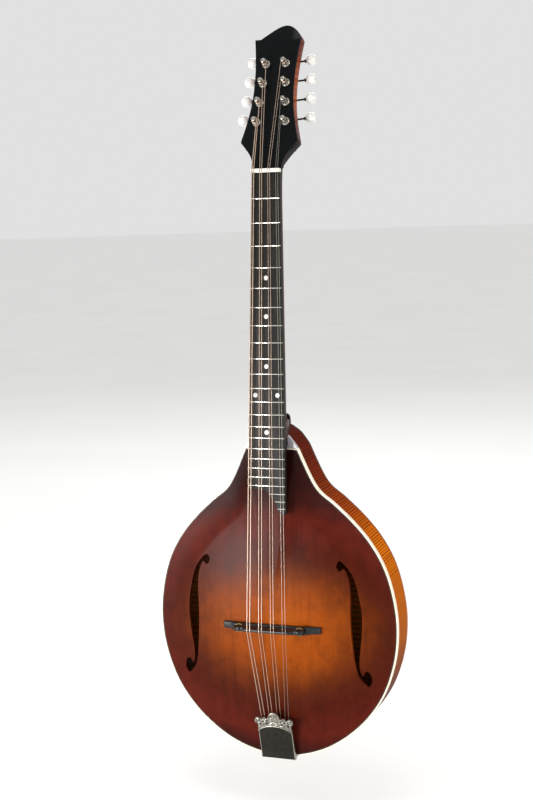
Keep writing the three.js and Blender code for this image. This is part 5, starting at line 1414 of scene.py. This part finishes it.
class MANDOLIN_OT_tuners(bpy.types.Operator):
    """Fit the two rows of tuners: plates, posts with gears, worms, bushings and pearl buttons"""

    bl_idname = "mandolin.tuners"
    bl_label = "Tuners"

    def execute(self, context):
        post, bushing = self.post(), self.bushing()
        for side, name in ((-1, "bass"), (1, "treble")):
            column = COLUMNS[side]
            base = from_cad("tuner_plate_" + name + "_pressed", "tuner_plate_" + name, column)
            settle(bevel(base, 0.25, 2, 40), column, "body", nickel(),
                   ["tuner_plate_" + name])
            head = screw("screw", 1.35, 0.8)
            facing_back = Matrix.Rotation(math.pi, 4, "X")
            screws = [copy_of(head, "plate_screw",
                              Matrix.Translation((0, PLATE_FRONT + 1, z)) @ facing_back)
                      for z in PLATE_SCREWS]
            discard(head)
            settle(join("plate_screws_" + name, *screws), column, "body", nickel())
            worm, button = self.worm(side), self.button(side)
            for step in range(4):
                number = string_of(side, step)
                place = Matrix.Translation((0, 0, step * POST_PITCH))
                drive = place @ Matrix.Translation((0, WORM_DEPTH, WORM_RISE))
                settle(copy_of(post, "post_%d_turned" % number, place), column,
                       "post_%d" % number, nickel(), ["post_%d" % number])
                settle(copy_of(bushing, "bushing_%d" % number, place), column, "body", nickel())
                settle(copy_of(worm, "worm_%d_cut" % number, drive), column,
                       "tuner_%d" % number, worm_steel(), ["worm_shaft_%d" % number])
                settle(copy_of(button, "button_%d_pearl" % number, drive), column,
                       "tuner_%d" % number, pearloid(), ["button_%d" % number], 50)
            discard(worm, button)
        discard(post, bushing)
        return {"FINISHED"}

    def post(self):
        """A post with its domed top, string waist, gear and screw."""
        r, w, h = POST_RADIUS, POST_WAIST, POST_HEIGHT
        body = turned("post", [(0, -h), (1.3, -h + 0.08), (2.2, -h + 0.35), (r, -h + 1.0),
                               (r, -h + 2.2), (w, -h + 2.75), (w, -1.7), (r, -1.1), (r, 19),
                               (2.4, 19), (2.4, 23.2), (2.1, 23.5), (0, 23.5)], 24)
        cut(body, block("slot", (-4, 4), (22.7, 24), (-0.35, 0.35)),
            tube("hole", [(-4, -2.2, 0), (4, -2.2, 0)], 0.75, 10))
        teeth = []
        for k in range(GEAR_TEETH):
            for part, radius in ((-0.32, GEAR_ROOT), (-0.14, GEAR_RADIUS), (0.14, GEAR_RADIUS),
                                 (0.32, GEAR_ROOT)):
                turn = 2 * math.pi * (k + part) / GEAR_TEETH
                teeth.append((radius * math.cos(turn), radius * math.sin(turn)))
        gear = bevel(plate("gear", teeth, WORM_DEPTH - 2, WORM_DEPTH + 2), 0.15, 1)
        return join("post_with_gear", body, gear)

    def bushing(self):
        """The pressed bushing that the post comes out of."""
        wide = sizes().bushing_diameter / MM / 2
        return turned("bushing", [(3.0, 1), (3.0, -0.95), (3.35, -1.25), (3.8, -1.2),
                                  (wide - 0.5, -0.75), (wide, -0.2), (wide, 0.15), (wide, 1)])

    def worm(self, side):
        """A shaft along the worm with its thread and collar, the button's end outwards."""
        far, end = 6.5, BUTTON_REACH - BUTTON_THICKNESS / 2
        profile = [(-far, 0), (-far, SHAFT_RADIUS), (-WORM_LENGTH / 2 - 0.2, SHAFT_RADIUS)]
        steps = 40
        for k in range(steps + 1):
            profile.append((-WORM_LENGTH / 2 + WORM_LENGTH * k / steps, None))
        profile += [(WORM_LENGTH / 2 + 0.2, SHAFT_RADIUS), (end - 2.4, SHAFT_RADIUS),
                    (end - 2.2, 1.6), (end - 1.9, 2.1), (end - 0.9, 2.1), (end - 0.6, 1.7),
                    (end + 0.4, 1.7), (end + 0.4, 0)]

        def place(i, j):
            turn, (along, radius) = 2 * math.pi * i / 20, profile[j]
            if radius is None:
                wave = max(-1.0, min(1.0, 1.8 * math.cos(turn - 2 * math.pi * along / WORM_PITCH)))
                radius = WORM_RADIUS - WORM_THREAD + WORM_THREAD * wave
            return (side * along, radius * math.cos(turn), radius * math.sin(turn))
        return grid("worm", 20, len(profile) - 1, place, True)

    def button(self, side):
        """A round pearl button with a rounded rim and a dished end."""
        line = curve_through([(0.2, -1), (0.42, -0.98), (0.78, -0.72), (0.97, -0.3), (1, 0.05),
                              (0.93, 0.48), (0.68, 0.84), (0.4, 0.95), (0, 0.98)], 3)
        profile = [(0.0, -0.92 * BUTTON_THICKNESS / 2)] + [
            (max(a, 0) * BUTTON_DIAMETER / 2, u * BUTTON_THICKNESS / 2) for a, u in line]

        def place(i, j):
            turn, (radius, along) = 2 * math.pi * i / 36, profile[j]
            return (side * (BUTTON_REACH + along), radius * math.cos(turn), radius * math.sin(turn))
        return grid("button", 36, len(profile) - 1, place, True)


class MANDOLIN_OT_hidden_wood(bpy.types.Operator):
    """Give the blocks, linings, bars and rod inside the body their own plain finishes, and the neck
    block a painted reflection in pale grey
    """

    bl_idname = "mandolin.hidden_wood"
    bl_label = "Inside the body"

    def execute(self, context):
        # the neck block's pale grey is a painted reflection beside the fingerboard
        inside = {"truss_rod": fret_wire(), "neck_block": grey_lacquer()}
        for node in ("tail_block", "tone_bar_bass", "tone_bar_treble", "lining_top_bass",
                     "lining_top_treble", "lining_back_bass", "lining_back_treble"):
            inside[node] = bare_wood()
        for node, finish in inside.items():
            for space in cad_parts[node].material_slots:
                space.material = finish
        return {"FINISHED"}


class MANDOLIN_OT_stage(bpy.types.Operator):
    """Set the pale floor, the soft lights and the camera at the photograph's angle"""

    bl_idname = "mandolin.stage"
    bl_label = "Stage"

    def execute(self, context):
        # the instrument hangs 70 mm over the floor, so that its cover has room to slide off
        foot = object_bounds()[0].z - COVER_ROOM * MM
        bpy.ops.object.select_all(action="DESELECT")
        bpy.ops.mesh.primitive_circle_add(vertices=64, radius=FLOOR_RADIUS, fill_type="NGON",
                                          location=(0, 0, foot))
        floor = named("studio_floor")
        bpy.ops.object.transform_apply(location=True, rotation=True, scale=True)
        floor.data.materials.append(studio_white())
        floor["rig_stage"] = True
        for name, place, aim, size, power, tint in LIGHTS:
            bpy.ops.object.light_add(type="AREA", location=place)
            light = bpy.context.object
            light.name = light.data.name = name
            light.data.shape = "RECTANGLE"
            light.data.size, light.data.size_y = size
            light.data.energy = power
            light.data.color = linear(tint)[:3]
            light.rotation_euler = (Vector(aim) - Vector(place)).to_track_quat("-Z", "Y").to_euler()
        world = bpy.data.worlds.new("studio_air")
        context.scene.world = world
        world.use_nodes = True
        air = world.node_tree.nodes["Background"].inputs
        air["Color"].default_value = linear(AIR_COLOUR)
        air["Strength"].default_value = AIR_STRENGTH
        context.scene.view_settings.view_transform = "Standard"
        self.camera(context)
        return {"FINISHED"}

    def camera(self, context):
        """The camera of the photo, turned to the treble side and looking down a little."""
        turn, down, roll = (math.radians(angle)
                            for angle in (CAMERA_TURN, CAMERA_DOWN, CAMERA_ROLL))
        ahead = Vector((-math.sin(turn) * math.cos(down), math.cos(turn) * math.cos(down),
                        -math.sin(down)))
        right = Vector((math.cos(turn), math.sin(turn), 0))
        upward = right.cross(ahead)
        across = right * math.cos(roll) + upward * math.sin(roll)
        above = upward * math.cos(roll) - right * math.sin(roll)
        bpy.ops.object.camera_add()
        camera = bpy.context.object
        camera.name = camera.data.name = "photo_camera"
        place = Matrix((across, above, -ahead)).transposed().to_4x4()
        place.translation = CAMERA_PLACE
        camera.matrix_world = place
        camera.data.lens, camera.data.sensor_width = CAMERA_LENS, CAMERA_SENSOR
        context.scene.camera = camera


class MANDOLIN_PT_panel(bpy.types.Panel):
    """Lists the mandolin's pieces in the order in which they are made"""

    bl_idname = "MANDOLIN_PT_panel"
    bl_label = "Octave mandolin"
    bl_space_type = "VIEW_3D"
    bl_region_type = "UI"
    bl_category = "Mandolin"

    def draw(self, context):
        layout = self.layout
        for group in (context.scene.mandolin_sizes, context.scene.mandolin_colours):
            box = layout.box()
            for key in group.__annotations__:
                box.prop(group, key)
        for piece in PIECES:
            layout.operator(piece.bl_idname)


PIECES = (
    MANDOLIN_OT_soundboard, MANDOLIN_OT_back, MANDOLIN_OT_ribs, MANDOLIN_OT_neck,
    MANDOLIN_OT_fingerboard, MANDOLIN_OT_nut, MANDOLIN_OT_bridge, MANDOLIN_OT_tailpiece,
    MANDOLIN_OT_strings, MANDOLIN_OT_tuners, MANDOLIN_OT_hidden_wood, MANDOLIN_OT_stage,
)
CLASSES = (MandolinSizes, MandolinColours) + PIECES + (MANDOLIN_PT_panel,)


def register():
    for item in CLASSES:
        bpy.utils.register_class(item)
    bpy.types.Scene.mandolin_sizes = bpy.props.PointerProperty(type=MandolinSizes)
    bpy.types.Scene.mandolin_colours = bpy.props.PointerProperty(type=MandolinColours)


def unregister():
    del bpy.types.Scene.mandolin_colours
    del bpy.types.Scene.mandolin_sizes
    for item in reversed(CLASSES):
        bpy.utils.unregister_class(item)


def main():
    register()
    for piece in PIECES:
        group, name = piece.bl_idname.split(".")
        getattr(getattr(bpy.ops, group), name)()


if __name__ == "__main__":
    main()
